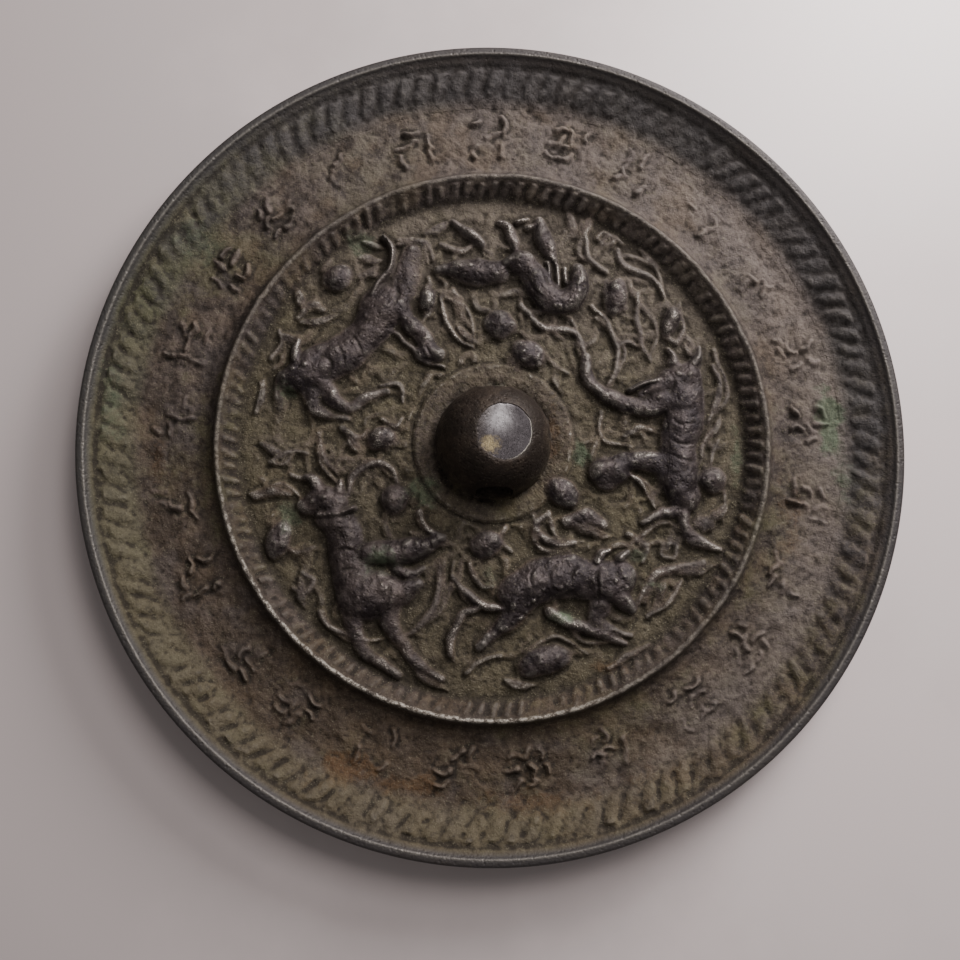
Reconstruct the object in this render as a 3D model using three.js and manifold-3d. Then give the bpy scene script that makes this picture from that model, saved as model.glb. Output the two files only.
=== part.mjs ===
// Ancient bronze mirror: a cast disc that lies on its polished face with the decorated back up.
// The back carries a raised rim with a toothed slope, a band of strokes, a toothed ridge, a field of
// five beasts among vines, and a domed knob bored for a cord.
// Millimetres, +Z up through the back, +Y towards the top of the back; the origin is the face's middle.
import * as THREE from 'three';
import { mergeVertices } from 'three/addons/utils/BufferGeometryUtils.js';
import { ConvexGeometry } from 'three/addons/geometries/ConvexGeometry.js';
import Module from 'manifold-3d';

// Driving sizes of the disc, in millimetres
const mirrorDiameter = 120;
const faceChamfer = 0.6;
const rimHeight = 8.2;
const rimFlatWidth = 1.3;
const rimEdgeRound = 0.9;
const rimStepWidth = 1.0;
const rimStepDrop = 1.3;
const rimSlopeWidth = 5.8;
const bandOuterLevel = 4.1;
const bandWidth = 10.2;
const bandInnerLevel = 3.7;
const ridgeHeight = 6.3;
const ridgeOuterWidth = 1.2;
const ridgeTopWidth = 0.5;
const ridgeInnerWidth = 2.7;
const fieldLevel = 3.2;

// Driving sizes of the knob and its cord hole
const knobDiameter = 17;
const knobCastHeight = 13.4;
const knobRingDiameter = 24.4;
const knobRingWidth = 2.4;
const knobRingHeight = 0.6;
const wornFacetTilt = 9;
const wornFacetDepth = 0.8;
const cordHoleWidth = 5.4;
const cordHoleHeight = 5.4;
const cordHoleFloor = 3.85;

// Teeth and strokes
const rimToothPitch = 2.75;
const rimToothWidth = 2.2;
const rimToothLength = 4.2;
const rimToothHeight = 0.8;
const rimToothInset = 0.8;
const ridgeToothWidth = 1.5;
const ridgeToothLength = 2.0;
const ridgeToothHeight = 0.5;
const ridgeToothInset = 0.4;
const strokeLength = 5.4;
const strokeWidth = 0.9;
const strokeHeight = 0.5;
const marksInBand = 25;

// Heights of the figures above the field's ground, and how deep all raised work is rooted
const bodyHeight = 2.5;
const limbHeight = 1.6;
const vineHeight = 0.75;
const vineWidth = 0.9;
const leafHeight = 0.8;
const fruitHeight = 2.0;
const rootDepth = 0.35;

// Half width of a beast's limb over that of its body
const limbShare = 0.42;

// Radii that follow from the sizes above, from the rim inwards
const rimRadius = mirrorDiameter / 2;
const rimFlatRadius = rimRadius - rimFlatWidth;
const rimStepRadius = rimFlatRadius - rimStepWidth;
const bandOuterRadius = rimStepRadius - rimSlopeWidth;
const ridgeFootRadius = bandOuterRadius - bandWidth;
const ridgeOuterRadius = ridgeFootRadius - ridgeOuterWidth;
const ridgeInnerRadius = ridgeOuterRadius - ridgeTopWidth;
const fieldRadius = ridgeInnerRadius - ridgeInnerWidth;
const knobRadius = knobDiameter / 2;
const knobRingRadius = knobRingDiameter / 2;

// Two rim teeth stand on each flat of the disc, which has as many flats on the left as on the right
const slopeCircumference = Math.PI * (rimStepRadius + bandOuterRadius);
const discSegments = 2 * Math.round(slopeCircumference / rimToothPitch / 4);
const toothCount = 2 * discSegments;

// The figures are drawn in hundredths of the field's radius: x to the right, y up
const hundredth = fieldRadius / 100;

// Five beasts: each is a body arched from chest to hips, a head, four limbs and a tail.
// A limb or tail is [tip x, tip y, bow]; bow is its sideways swell as a share of its length.
// They go round from the upper left: one climbs, one hangs from the ridge, one climbs down at the
// right, one runs along the ridge and one dances
const beasts = [
  {
    head: [-74, 27], muzzle: [-87, 21], chest: [-60, 33], hips: [-43, 52], arch: 0.05, girth: 8.4,
    fore: [[-41, 19, 0.32], [-39, 9, 0.28]],
    hind: [[-19, 31, 0.2], [-23, 42, -0.2]],
    tail: [-50, 84, -0.25],
  },
  {
    head: [-6, 69], muzzle: [-19, 71], chest: [11, 71], hips: [34, 63], arch: 0.5, girth: 7.4,
    fore: [[3, 90, 0.2], [16, 92, -0.15]],
    hind: [[26, 78, 0.3], [21, 90, -0.2]],
    tail: [39, 92, 0.15],
  },
  {
    head: [76, 26], muzzle: [62, 21], chest: [75, 13], hips: [73, -16], arch: 0.08, girth: 8.2,
    fore: [[37, 30, -0.38], [55, 10, 0.15]],
    hind: [[48, -9, 0.12], [80, -40, 0.12]],
    tail: [91, -42, 0.3],
  },
  {
    head: [46, -52], muzzle: [55, -61], chest: [38, -57], hips: [14, -65], arch: 0.16, girth: 9,
    fore: [[52, -79, 0.22], [40, -76, -0.1]],
    hind: [[-7, -84, 0.12], [10, -80, 0.2]],
    tail: [-5, -62, 0.3],
  },
  {
    head: [-66, -29], muzzle: [-76, -33], chest: [-56, -36], hips: [-46, -60], arch: -0.14, girth: 9,
    fore: [[-19, -39, -0.2], [-65, -53, 0.3]],
    hind: [[-41, -89, -0.15], [-23, -90, 0.2]],
    tail: [-25, -50, 0.25],
  },
];

// Tendrils of the vine: [x, y of the root, x, y of the tip, bow]
const tendrils = [
  [-39, 84, -27, 74, -0.3], [-35, 63, -30, 45, -0.25], [-21, 60, -8, 38, -0.25],
  [-26, 68, -28, 59, -0.2], [12, 55, 36, 31, -0.3], [22, 48, 28, 42, 0.1], [42, 51, 47, 22, -0.3],
  [59, 58, 64, 34, -0.2], [53, 78, 70, 59, -0.25], [37, 90, 47, 72, 0.35], [44, 82, 53, 83, -0.4],
  [78, 44, 83, 29, -0.1], [90, 38, 82, 5, -0.25], [43, 13, 56, -2, 0.35], [-58, -22, -37, -16, -0.55],
  [-69, 3, -59, -19, 0.2], [-96, -21, -72, -27, -0.25], [-88, -8, -79, -4, 0.3],
  [-30, -28, -20, -38, 0.2], [-20, -48, -35, -76, -0.25], [-15, -53, 0, -67, 0.2],
  [-5, -64, -16, -86, 0.25], [-67, -67, -43, -77, 0.25], [16, -29, 30, -43, 0.4],
  [22, -29, 35, -40, 0.3], [55, -40, 80, -42, -0.35], [53, -13, 63, -27, -0.25],
  [59, -64, 81, -51, -0.25], [27, -70, 46, -78, 0.2], [11, -83, 37, -83, -0.25], [-16, 91, 0, 78, 0.1],
  [84, -9, 91, -32, -0.2],
];

// Leaves: [x, y of the stalk, heading in degrees from +X, length, width]
const leaves = [
  [-78, 48, 15, 17, 4], [-86, 44, -25, 12, 4], [-77, 53, 110, 11, 4], [-52, 74, 8, 8, 3],
  [-52, 70, -15, 8, 3], [-52, 83, -20, 8, 3], [-36, 71, 60, 11, 4], [-94, 12, 80, 14, 4],
  [-85, 14, 100, 12, 4], [-92, -1, -20, 12, 4], [33, 86, 105, 12, 4], [37, 86, 75, 11, 4],
  [70, 44, 65, 16, 5], [84, -32, 40, 14, 5], [70, -51, 8, 18, 5], [63, -66, 70, 14, 4],
  [-33, -85, -38, 20, 5], [-76, -54, -80, 12, 4], [88, 12, 75, 12, 3], [86, 2, 60, 12, 3],
  [-28, 86, 25, 13, 4], [5, -93, -10, 12, 4], [56, -86, 30, 14, 4], [-58, 4, -60, 12, 4],
  [30, -31, -20, 18, 6], [-32, -37, -12, 18, 5], [-14, 47, -40, 12, 4], [60, 80, -40, 12, 3],
];

// Fruits and buds: [x, y, half length, half width, turn in degrees]
const fruits = [
  [3, 48, 7, 7, 0], [50, 60, 9, 5, 80], [-39, -23, 7, 6, 60], [-84, -39, 9, 5.5, 70],
  [-3, -41, 7, 6, 20], [20, -86, 12, 6.5, 15], [45, -12, 8, 7.5, 0], [87, -15, 6.5, 6, 0],
  [27, -20, 8, 6, -30], [-27, 58, 6, 4, 80], [-63, 67, 6.5, 6, 40], [-45, 1, 7, 5, 30],
  [14, 36, 8, 6, -40], [72, 50, 7, 4, 70],
];

const wasm = await Module();
wasm.setup();

// A closed three.js geometry as a solid: shared corners merged, no face without area, facing out
function solid(geometry) {
  const bare = geometry.clone();
  bare.deleteAttribute('normal');
  bare.deleteAttribute('uv');
  const merged = mergeVertices(bare, 1e-4);
  const corners = merged.index.array;
  const triVerts = [];
  for (let i = 0; i < corners.length; i += 3) {
    const [a, b, c] = [corners[i], corners[i + 1], corners[i + 2]];
    if (a !== b && b !== c && c !== a) triVerts.push(a, b, c);
  }
  return new wasm.Manifold(new wasm.Mesh({
    numProp: 3,
    vertProperties: Float32Array.from(merged.attributes.position.array),
    triVerts: Uint32Array.from(triVerts),
  }));
}

// A profile of [radius, height] points turned about the disc's axis
function turned(profile, segments) {
  const points = profile.map(([radius, height]) => new THREE.Vector2(radius, height));
  return new THREE.LatheGeometry(points, segments).rotateX(Math.PI / 2);
}

// A point of the field drawn in hundredths of its radius
const spot = ([x, y]) => new THREE.Vector2(x * hundredth, y * hundredth);

// The path from one spot to another that swells sideways by bow times its length
function bowed(from, to, bow) {
  const chord = to.clone().sub(from);
  const side = new THREE.Vector2(chord.y, -chord.x).multiplyScalar(2 * bow);
  const middle = from.clone().add(to).multiplyScalar(0.5).add(side);
  return new THREE.QuadraticBezierCurve(from, middle, to);
}

// Nothing on the ground reaches deeper into the casting than its root
function rooted(geometry, level) {
  const place = geometry.attributes.position;
  for (let i = 0; i < place.count; i += 1) {
    place.setZ(i, Math.max(place.getZ(i), level - 2 * rootDepth));
  }
  return geometry;
}

// A spindle laid along a path on the ground: girths are half widths spread evenly from root to tip,
// rise is its height over its half width, and its upper half stands above the level. It swells over
// steps rings, and tipShare says how short its two pointed ends are
function spindle(path, girths, rise, level, sides = 6, steps = 3, tipShare = 0.3) {
  const girthAt = (t) => {
    const place = t * (girths.length - 1);
    const before = Math.floor(place);
    const after = Math.min(before + 1, girths.length - 1);
    return THREE.MathUtils.lerp(girths[before], girths[after], place - before);
  };
  const profile = [new THREE.Vector2(0, 0)];
  for (let step = 0; step < steps; step += 1) {
    const t = (step + tipShare) / (steps - 1 + 2 * tipShare);
    profile.push(new THREE.Vector2(girthAt(t), t));
  }
  profile.push(new THREE.Vector2(0, 1));
  const geometry = new THREE.LatheGeometry(profile, sides);
  const place = geometry.attributes.position;
  for (let i = 0; i < place.count; i += 1) {
    const along = THREE.MathUtils.clamp(place.getY(i), 0, 1);
    const centre = path.getPoint(along);
    const heading = path.getTangent(along);
    const sideways = place.getX(i);
    place.setXYZ(
      i,
      centre.x + heading.y * sideways,
      centre.y - heading.x * sideways,
      level + place.getZ(i) * rise,
    );
  }
  return solid(rooted(geometry, level));
}

// A rounded lump on the ground: half length, half width and turn in the plane, height above the level
function lump(centre, halfLength, halfWidth, turn, height, level) {
  const geometry = new THREE.SphereGeometry(1, 8, 4)
    .rotateX(Math.PI / 2)
    .scale(halfLength, halfWidth, height + rootDepth)
    .rotateZ(THREE.MathUtils.degToRad(turn))
    .translate(centre.x, centre.y, level - rootDepth);
  return solid(rooted(geometry, level));
}

// The disc without its figures, from the polished face round the rim to the field's ground
function disc() {
  return solid(turned([
    [0, 0],
    [rimRadius - faceChamfer, 0],
    [rimRadius, faceChamfer],
    [rimRadius, rimHeight - rimEdgeRound],
    [rimRadius - 0.6 * rimEdgeRound, rimHeight],
    [rimFlatRadius, rimHeight],
    [rimStepRadius, rimHeight - rimStepDrop],
    [bandOuterRadius, bandOuterLevel],
    [ridgeFootRadius, bandInnerLevel],
    [ridgeOuterRadius, ridgeHeight],
    [ridgeInnerRadius, ridgeHeight],
    [fieldRadius, fieldLevel],
    [0, fieldLevel],
  ], discSegments));
}

// A ring of wedge teeth on a slope. Each runs from its tall outer end down to its inner tip
function teeth({ outer, inner, levelAt, width, height }) {
  const ring = [];
  for (let index = 0; index < toothCount; index += 1) {
    const wedge = new ConvexGeometry([
      new THREE.Vector3(outer, -width / 2, levelAt(outer) - rootDepth),
      new THREE.Vector3(outer, width / 2, levelAt(outer) - rootDepth),
      new THREE.Vector3(outer, 0, levelAt(outer) + height),
      new THREE.Vector3(inner, 0, levelAt(inner) - rootDepth / 4),
    ]);
    const turn = ((index + 0.5) / toothCount) * 2 * Math.PI;
    ring.push(solid(wedge.rotateZ(turn)));
  }
  return ring;
}

// The level of a straight slope between two radii
function slope(innerRadius, innerLevel, outerRadius, outerLevel) {
  return (radius) => THREE.MathUtils.mapLinear(radius, innerRadius, outerRadius, innerLevel, outerLevel);
}

function rimTeeth() {
  const outer = rimStepRadius - rimToothInset;
  const levelAt = slope(bandOuterRadius, bandOuterLevel, rimStepRadius, rimHeight - rimStepDrop);
  const inner = outer - rimToothLength;
  return teeth({ outer, inner, levelAt, width: rimToothWidth, height: rimToothHeight });
}

function ridgeTeeth() {
  const outer = ridgeInnerRadius - ridgeToothInset;
  const levelAt = slope(fieldRadius, fieldLevel, ridgeInnerRadius, ridgeHeight);
  const inner = outer - ridgeToothLength;
  return teeth({ outer, inner, levelAt, width: ridgeToothWidth, height: ridgeToothHeight });
}

// One stroke: a low wedge, broad where it starts and running out to a point where it ends
function stroke(from, to) {
  const levelAt = slope(ridgeFootRadius, bandInnerLevel, bandOuterRadius, bandOuterLevel);
  const level = levelAt((from.length() + to.length()) / 2);
  const side = to.clone().sub(from).normalize().rotateAround(new THREE.Vector2(), Math.PI / 2)
    .multiplyScalar(strokeWidth / 2);
  return solid(new ConvexGeometry([
    new THREE.Vector3(from.x + side.x, from.y + side.y, level - rootDepth),
    new THREE.Vector3(from.x - side.x, from.y - side.y, level - rootDepth),
    new THREE.Vector3(from.x, from.y, level + strokeHeight),
    new THREE.Vector3(to.x, to.y, level - rootDepth / 4),
  ]));
}

// The marks of the band: loose dashes side by side that stand for worn writing and spell nothing
function marks() {
  const middle = (bandOuterRadius + ridgeFootRadius) / 2 + 0.4;
  const half = strokeLength / 2;
  const strokes = [];
  for (let index = 0; index < marksInBand; index += 1) {
    const turn = Math.PI / 2 - (index / marksInBand) * 2 * Math.PI;
    const lean = 0.12 * ((index % 3) - 1);
    const drop = 0.3 * (index % 4);
    const dashes = [
      [-0.75 - lean, -0.9, -0.75 + lean, 0.9 - drop],
      [-0.05 - lean, 0.95, -0.05 + lean, -0.5 + drop],
      [0.65 - lean, -0.95 + drop / 2, 0.65 + lean, 0.35 + drop / 2],
    ];
    for (const [x0, y0, x1, y1] of dashes) {
      const place = (x, y) => new THREE.Vector2(middle + y * half, -x * half * 0.8)
        .rotateAround(new THREE.Vector2(), turn);
      strokes.push(stroke(place(x0, y0), place(x1, y1)));
    }
  }
  return strokes;
}

// One beast, worked out from its chest, hips, head, limbs and tail
function beast(pose) {
  const girth = pose.girth * hundredth;
  const rise = bodyHeight / girth;
  const [chest, hips, head, muzzle] = [pose.chest, pose.hips, pose.head, pose.muzzle].map(spot);
  const limbRise = limbHeight / (limbShare * girth);
  const limb = (root, [x, y, bow], shares) => spindle(
    bowed(root, spot([x, y]), bow),
    shares.map((share) => share * girth),
    limbRise,
    fieldLevel,
  );
  const bodyGirths = [1, 0.85, 0.8, 1, 1.05].map((share) => share * girth);
  const foreShares = [0.5, limbShare, 0.32, limbShare, 0.36];
  const hindShares = [0.65, limbShare, 0.32, limbShare, 0.36];
  const tailShares = [0.36, 0.28, 0.24, 0.3, 0.2];
  const facing = muzzle.clone().sub(head).angle();
  const fromHead = (reach, turn) => head.clone().add(
    new THREE.Vector2(reach * girth, 0).rotateAround(new THREE.Vector2(), facing + turn),
  );
  const ear = (side) => spindle(
    bowed(fromHead(0.4, 1.9 * side), fromHead(1.05, 2.2 * side), 0),
    [0.26 * girth],
    rise * 1.4,
    fieldLevel,
    6,
    1,
  );
  return [
    spindle(bowed(chest, hips, pose.arch), bodyGirths, rise, fieldLevel, 8, 4, 0.7),
    lump(hips, 1.1 * girth, girth, 0, bodyHeight * 1.05, fieldLevel),
    spindle(bowed(chest, head, 0), [0.85 * girth, 0.6 * girth], rise, fieldLevel, 8, 2),
    lump(head, 0.75 * girth, 0.62 * girth, THREE.MathUtils.radToDeg(facing), bodyHeight, fieldLevel),
    spindle(bowed(head, muzzle, 0), [0.46 * girth, 0.42 * girth], rise, fieldLevel, 8, 2, 0.2),
    ear(-1),
    ear(1),
    ...pose.fore.map((paw) => limb(chest, paw, foreShares)),
    ...pose.hind.map((paw) => limb(hips, paw, hindShares)),
    limb(hips, pose.tail, tailShares),
  ];
}

// Vines, leaves and fruits between the beasts
function vines() {
  const girths = [0.5, 0.5, 0.42, 0.3].map((share) => share * vineWidth);
  return tendrils.map(([x0, y0, x1, y1, bow]) => spindle(
    bowed(spot([x0, y0]), spot([x1, y1]), bow),
    girths,
    vineHeight / (0.5 * vineWidth),
    fieldLevel,
    4,
    4,
  ));
}

function foliage() {
  return leaves.map(([x, y, heading, length, width]) => {
    const stalk = spot([x, y]);
    const reach = new THREE.Vector2(length * hundredth, 0)
      .rotateAround(new THREE.Vector2(), THREE.MathUtils.degToRad(heading));
    const half = (width * hundredth) / 2;
    const path = bowed(stalk, stalk.clone().add(reach), 0.12);
    return spindle(path, [half], leafHeight / half, fieldLevel, 4, 1, 0.4);
  });
}

function fruit() {
  return fruits.map(([x, y, length, width, turn]) => lump(
    spot([x, y]),
    length * hundredth,
    width * hundredth,
    turn,
    fruitHeight,
    fieldLevel,
  ));
}

// The knob: a dome on a low ring, its top worn to a tilted facet
function knob() {
  const base = fieldLevel - rootDepth;
  const ringTop = fieldLevel + knobRingHeight;
  const dome = knobCastHeight - ringTop;
  const profile = [
    [0, base],
    [knobRingRadius, base],
    [knobRingRadius, fieldLevel],
    [knobRingRadius - knobRingHeight, ringTop],
    [knobRingRadius - knobRingWidth, ringTop],
    [knobRadius, fieldLevel + 0.5 * knobRingHeight],
  ];
  const domeSteps = 5;
  for (let step = 1; step < domeSteps; step += 1) {
    const lift = (step / domeSteps) * (Math.PI / 2);
    profile.push([knobRadius * Math.cos(lift) ** 0.8, ringTop + dome * Math.sin(lift)]);
  }
  profile.push([0, knobCastHeight]);
  const cutter = new THREE.BoxGeometry(2 * knobDiameter, 2 * knobDiameter, knobDiameter)
    .translate(0, 0, knobDiameter / 2)
    .rotateY(THREE.MathUtils.degToRad(wornFacetTilt))
    .translate(0, 0, knobCastHeight - wornFacetDepth);
  return solid(turned(profile, 24)).subtract(solid(cutter));
}

// The cord hole runs along Y: a flat floor with an arched roof
function cordHole() {
  const half = cordHoleWidth / 2;
  const arch = new THREE.Shape();
  const spring = cordHoleFloor + cordHoleHeight - half;
  arch.moveTo(-half, cordHoleFloor);
  arch.lineTo(half, cordHoleFloor);
  arch.lineTo(half, spring);
  arch.absarc(0, spring, half, 0, Math.PI, false);
  arch.closePath();
  const length = knobRingDiameter;
  return solid(
    new THREE.ExtrudeGeometry(arch, { depth: length, bevelEnabled: false, curveSegments: 6 })
      .translate(0, 0, -length / 2)
      .rotateX(Math.PI / 2),
  );
}

// The casting: everything joined into one solid
function casting() {
  const figures = beasts.flatMap(beast);
  return wasm.Manifold.union([
    disc(),
    knob(),
    ...rimTeeth(),
    ...ridgeTeeth(),
    ...marks(),
    ...figures,
    ...vines(),
    ...foliage(),
    ...fruit(),
  ]).subtract(cordHole());
}

// The solid back as a three.js geometry
function geometryOf(made) {
  const mesh = made.getMesh();
  const geometry = new THREE.BufferGeometry();
  geometry.setAttribute('position', new THREE.BufferAttribute(mesh.vertProperties, 3));
  geometry.setIndex(new THREE.BufferAttribute(mesh.triVerts, 1));
  geometry.computeVertexNormals();
  return geometry;
}

const bronze = new THREE.MeshStandardMaterial({ color: 0x4a4238, roughness: 0.55, metalness: 0.8 });
const mirror = new THREE.Mesh(geometryOf(casting()), bronze);
mirror.name = 'mirror_casting';

const bronzeMirror = new THREE.Group();
bronzeMirror.add(mirror);

export default bronzeMirror;
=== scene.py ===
import functools
import itertools
import math

import bmesh
import bpy
import numpy as np
from bpy.props import FloatProperty, FloatVectorProperty, IntProperty, PointerProperty
from mathutils import Matrix, Vector


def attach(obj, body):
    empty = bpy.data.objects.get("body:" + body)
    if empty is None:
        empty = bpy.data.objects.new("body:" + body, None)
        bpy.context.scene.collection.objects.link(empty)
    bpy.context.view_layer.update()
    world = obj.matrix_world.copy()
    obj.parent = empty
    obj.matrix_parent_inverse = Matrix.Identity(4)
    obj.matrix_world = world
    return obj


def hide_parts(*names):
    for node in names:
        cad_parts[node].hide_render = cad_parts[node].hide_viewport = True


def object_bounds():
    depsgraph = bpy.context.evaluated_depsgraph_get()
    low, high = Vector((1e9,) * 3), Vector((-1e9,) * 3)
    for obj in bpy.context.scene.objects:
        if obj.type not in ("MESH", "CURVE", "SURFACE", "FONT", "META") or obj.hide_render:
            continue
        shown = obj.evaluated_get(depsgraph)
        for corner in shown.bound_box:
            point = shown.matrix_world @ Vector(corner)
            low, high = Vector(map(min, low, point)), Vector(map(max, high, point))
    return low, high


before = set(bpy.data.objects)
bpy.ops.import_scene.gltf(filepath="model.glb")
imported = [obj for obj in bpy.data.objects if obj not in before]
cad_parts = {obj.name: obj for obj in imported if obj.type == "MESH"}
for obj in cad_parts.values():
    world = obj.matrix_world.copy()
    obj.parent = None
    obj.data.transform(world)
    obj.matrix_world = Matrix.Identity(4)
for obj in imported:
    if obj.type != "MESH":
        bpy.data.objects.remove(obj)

bl_info = {
    "name": "Cast Bronze Mirror",
    "version": (1, 0, 0),
    "blender": (4, 5, 0),
    "location": "View3D > Sidebar > Bronze Mirror",
    "description": "Dresses a cast bronze mirror with its relief, its worn bronze and a pale table",
    "category": "Add Mesh",
}

CASTING = "mirror_casting"
CAD_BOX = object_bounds()

# One millimetre in the scene's metres
MM = 0.001

# The disc's radius is the lesser half width of the casting, in millimetres
DISC_RADIUS = round(min(CAD_BOX[1].x - CAD_BOX[0].x, CAD_BOX[1].y - CAD_BOX[0].y) / 2 / MM, 2)

# Pitch and reach of the height map that the relief is worked out on, in millimetres
MAP_PITCH = 0.1
MAP_REACH = 60.2

# The relief is read off the map up to this radius; outside it the rim is plain
RELIEF_RADIUS = 58.5

TOOTH_COUNT = 124
MARK_COUNT = 25

# Columns round each turned piece
RIM_COLUMNS = 12 * TOOTH_COUNT
BAND_COLUMNS = 10 * TOOTH_COUNT
FIELD_COLUMNS = 8 * TOOTH_COUNT
KNOB_COLUMNS = 4 * TOOTH_COUNT

# Pitch of the rows of each turned piece, in millimetres
ROW_PITCH = 0.14
OUTER_FIELD_PITCH = 0.163
INNER_FIELD_PITCH = 0.143

# Where the field is parted into two rings, and the level of a turned top before it is carved
FIELD_PARTING = 26.0
BLANK_LEVEL = 4.0

# The rim's outer wall in millimetres: how far its lower edge is cut back, the levels of its rows and
# the rounding of its upper edge. Then how many steps that rounding and the dome are turned in
LOWER_EDGE = 0.6
WALL_LEVELS = (5.0, 2.6, LOWER_EDGE)
RIM_ROUNDING = 0.5
RIM_STEPS = 6
DOME_STEPS = 56

# The worn facet of the knob: its tilt in degrees, and how much wear took off in the middle
FACET_TILT = 9
FACET_WEAR = 0.82

# Points that a smooth curve has for each stretch of its path
CURVE_STEPS = 6

# Masks that the carving leaves on a piece for its material
MASKS = ("worn", "hollow", "figure", "verdigris", "rust")

# Layers of noise: height, size of the lumps in millimetres, seed
CRUST = ((0.16, 3.0, 1), (0.13, 1.4, 2), (0.09, 0.62, 3), (0.06, 0.34, 4))
UNEVEN_CASTING = ((0.4, 2.7, 5), (0.25, 1.2, 6))
BEAST_SKIN = ((0.22, 2.3, 51), (0.12, 1.1, 52))
FRUIT_SEEDS = ((0.12, 0.9, 31),)
KNOB_WEAR = ((0.05, 2.2, 21), (0.02, 0.7, 22))
TANGLE_WEAR = ((0.5, 3.0, 73),)

# Tangles of the finest stems: size of their bends, seed, half width, height
TANGLES = ((5.2, 61, 0.85, 0.6), (3.9, 71, 0.6, 0.45))

# How outlines are bent: size of the bends, their reach, seed
FIGURE_BENDS = (2.4, 0.3, 55)
MARK_BENDS = (1.3, 0.3, 57)
TOOTH_BENDS = (1.7, 0.26, 59)

# Teeth: how far their middle lies outside the zone's inner edge, their length, width and slant
RIM_TEETH = (3.3, 3.7, 2.1, 0.5)
RIDGE_TEETH = (1.45, 2.1, 1.2, 0.3)
TOOTH_SEED = 9

# The marks: how far their strokes stand from the middle outwards and across, the share left out, and
# the strokes' headings in radians
STROKES_OUTWARDS = (-2.0, 0.1, 2.1)
STROKES_ACROSS = (-2.1, 0.0, 2.1)
STROKES_MISSING = 0.38
STROKE_HEADINGS = (0.0, 1.57, 1.57, 0.7)
MARK_SEED = 12

# The lamps' bearing from the mirror, their distance and their width in metres
KEY_LAMP = (Vector((0.303, 0.433, 0.849)), 0.36, 0.15)
LOW_LAMP = (Vector((0.144, 0.177, 0.13)), 0.262, 0.1)
LAMP_COLOUR = (1.0, 0.98, 0.96)
ROOM_COLOUR = (1.0, 0.97, 0.95, 1.0)

# The point that the camera looks at, in metres, and half the table's width
AIM = Vector((-2.02, -5.68, 3.6)) * MM
TABLE_REACH = 1.5

# The five beasts, in tenths of a millimetre. Each row is a body part: its path as x, y, x, y and so on,
# x to the right and y up, its half widths spread evenly along the path, and its height above the ground
CLIMBER = (
    ((-166, 206, -186, 168, -222, 134, -260, 112), (33, 27, 28, 29), 24),
    ((-270, 106, -288, 98, -310, 92), (30, 26, 13), 24), ((-262, 126, -252, 139, -239, 146), (9, 7, 3), 20),
    ((-292, 122, -296, 138, -292, 150), (8, 7, 3), 17),
    ((-168, 208, -142, 232, -126, 264, -124, 293), (29, 25, 22, 12), 15),
    ((-182, 224, -172, 242, -155, 260, -151, 284, -156, 303, -167, 316), (4, 4.5, 4.5, 4, 4, 3), 22),
    ((-136, 232, -140, 206, -128, 182, -110, 162, -96, 139), (8, 13, 15, 12, 14), 18),
    ((-106, 134, -86, 132), (13, 12), 16),
    ((-254, 84, -236, 62, -212, 52, -192, 65, -160, 75), (17, 12, 9, 8, 5), 16),
    ((-272, 74, -264, 52, -242, 40, -218, 36), (14, 10, 8, 6), 13),
    ((-174, 167, -146, 162, -125, 142, -105, 122, -74, 114), (3, 3.5, 3.5, 3, 2), 10),
)
DIVER = (
    ((28, 275, 53, 264, 72, 234, 93, 215, 116, 219, 129, 240, 129, 268), (12, 19, 21, 21, 19, 16, 8), 24),
    ((52, 279, 36, 279, 19, 273), (12, 14, 8), 24),
    ((8, 262, -24, 260, -50, 264, -82, 263), (16, 20, 15, 7), 20),
    ((-18, 304, -36, 319, -62, 340), (7, 8, 3), 16),
    ((70, 340, 76, 320, 86, 300, 93, 282), (8, 13, 13, 7), 17),
    ((10, 339, 24, 328, 32, 310, 34, 292), (4, 7, 6, 5), 14), ((37, 338, 52, 344), (4, 4), 12),
    ((53, 329, 65, 335), (4, 4), 12), ((82, 276, 85, 244), (4, 3), 15), ((97, 272, 97, 240), (4, 3), 14),
    ((110, 268, 109, 244), (4, 3), 14),
)
GUARD = (
    ((286, 72, 284, 26, 274, -16, 275, -50, 284, -82), (29, 28, 25, 30, 22), 25),
    ((286, 94, 264, 88, 240, 80, 222, 72), (27, 21, 13, 9), 24),
    ((248, 95, 226, 90, 204, 79), (4, 4.5, 3), 20), ((298, 116, 308, 132, 310, 146), (9, 7, 3), 19),
    ((272, 118, 270, 132, 262, 142), (8, 6, 3), 18),
    ((256, 62, 220, 54, 188, 64, 156, 82, 139, 105, 139, 132), (18, 14, 11, 11, 10, 7), 20),
    ((270, -34, 236, -29, 200, -30, 174, -39), (20, 16, 13, 16), 20), ((178, -42, 160, -44), (21, 19), 21),
    ((282, -78, 269, -104, 247, -107, 222, -122), (13, 9, 8, 4), 15),
    ((279, -102, 284, -128, 304, -150, 334, -157), (11, 8, 8, 4), 14),
    ((198, -48, 219, -64, 229, -84, 236, -99), (3, 3.5, 3, 2), 10),
)
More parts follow.
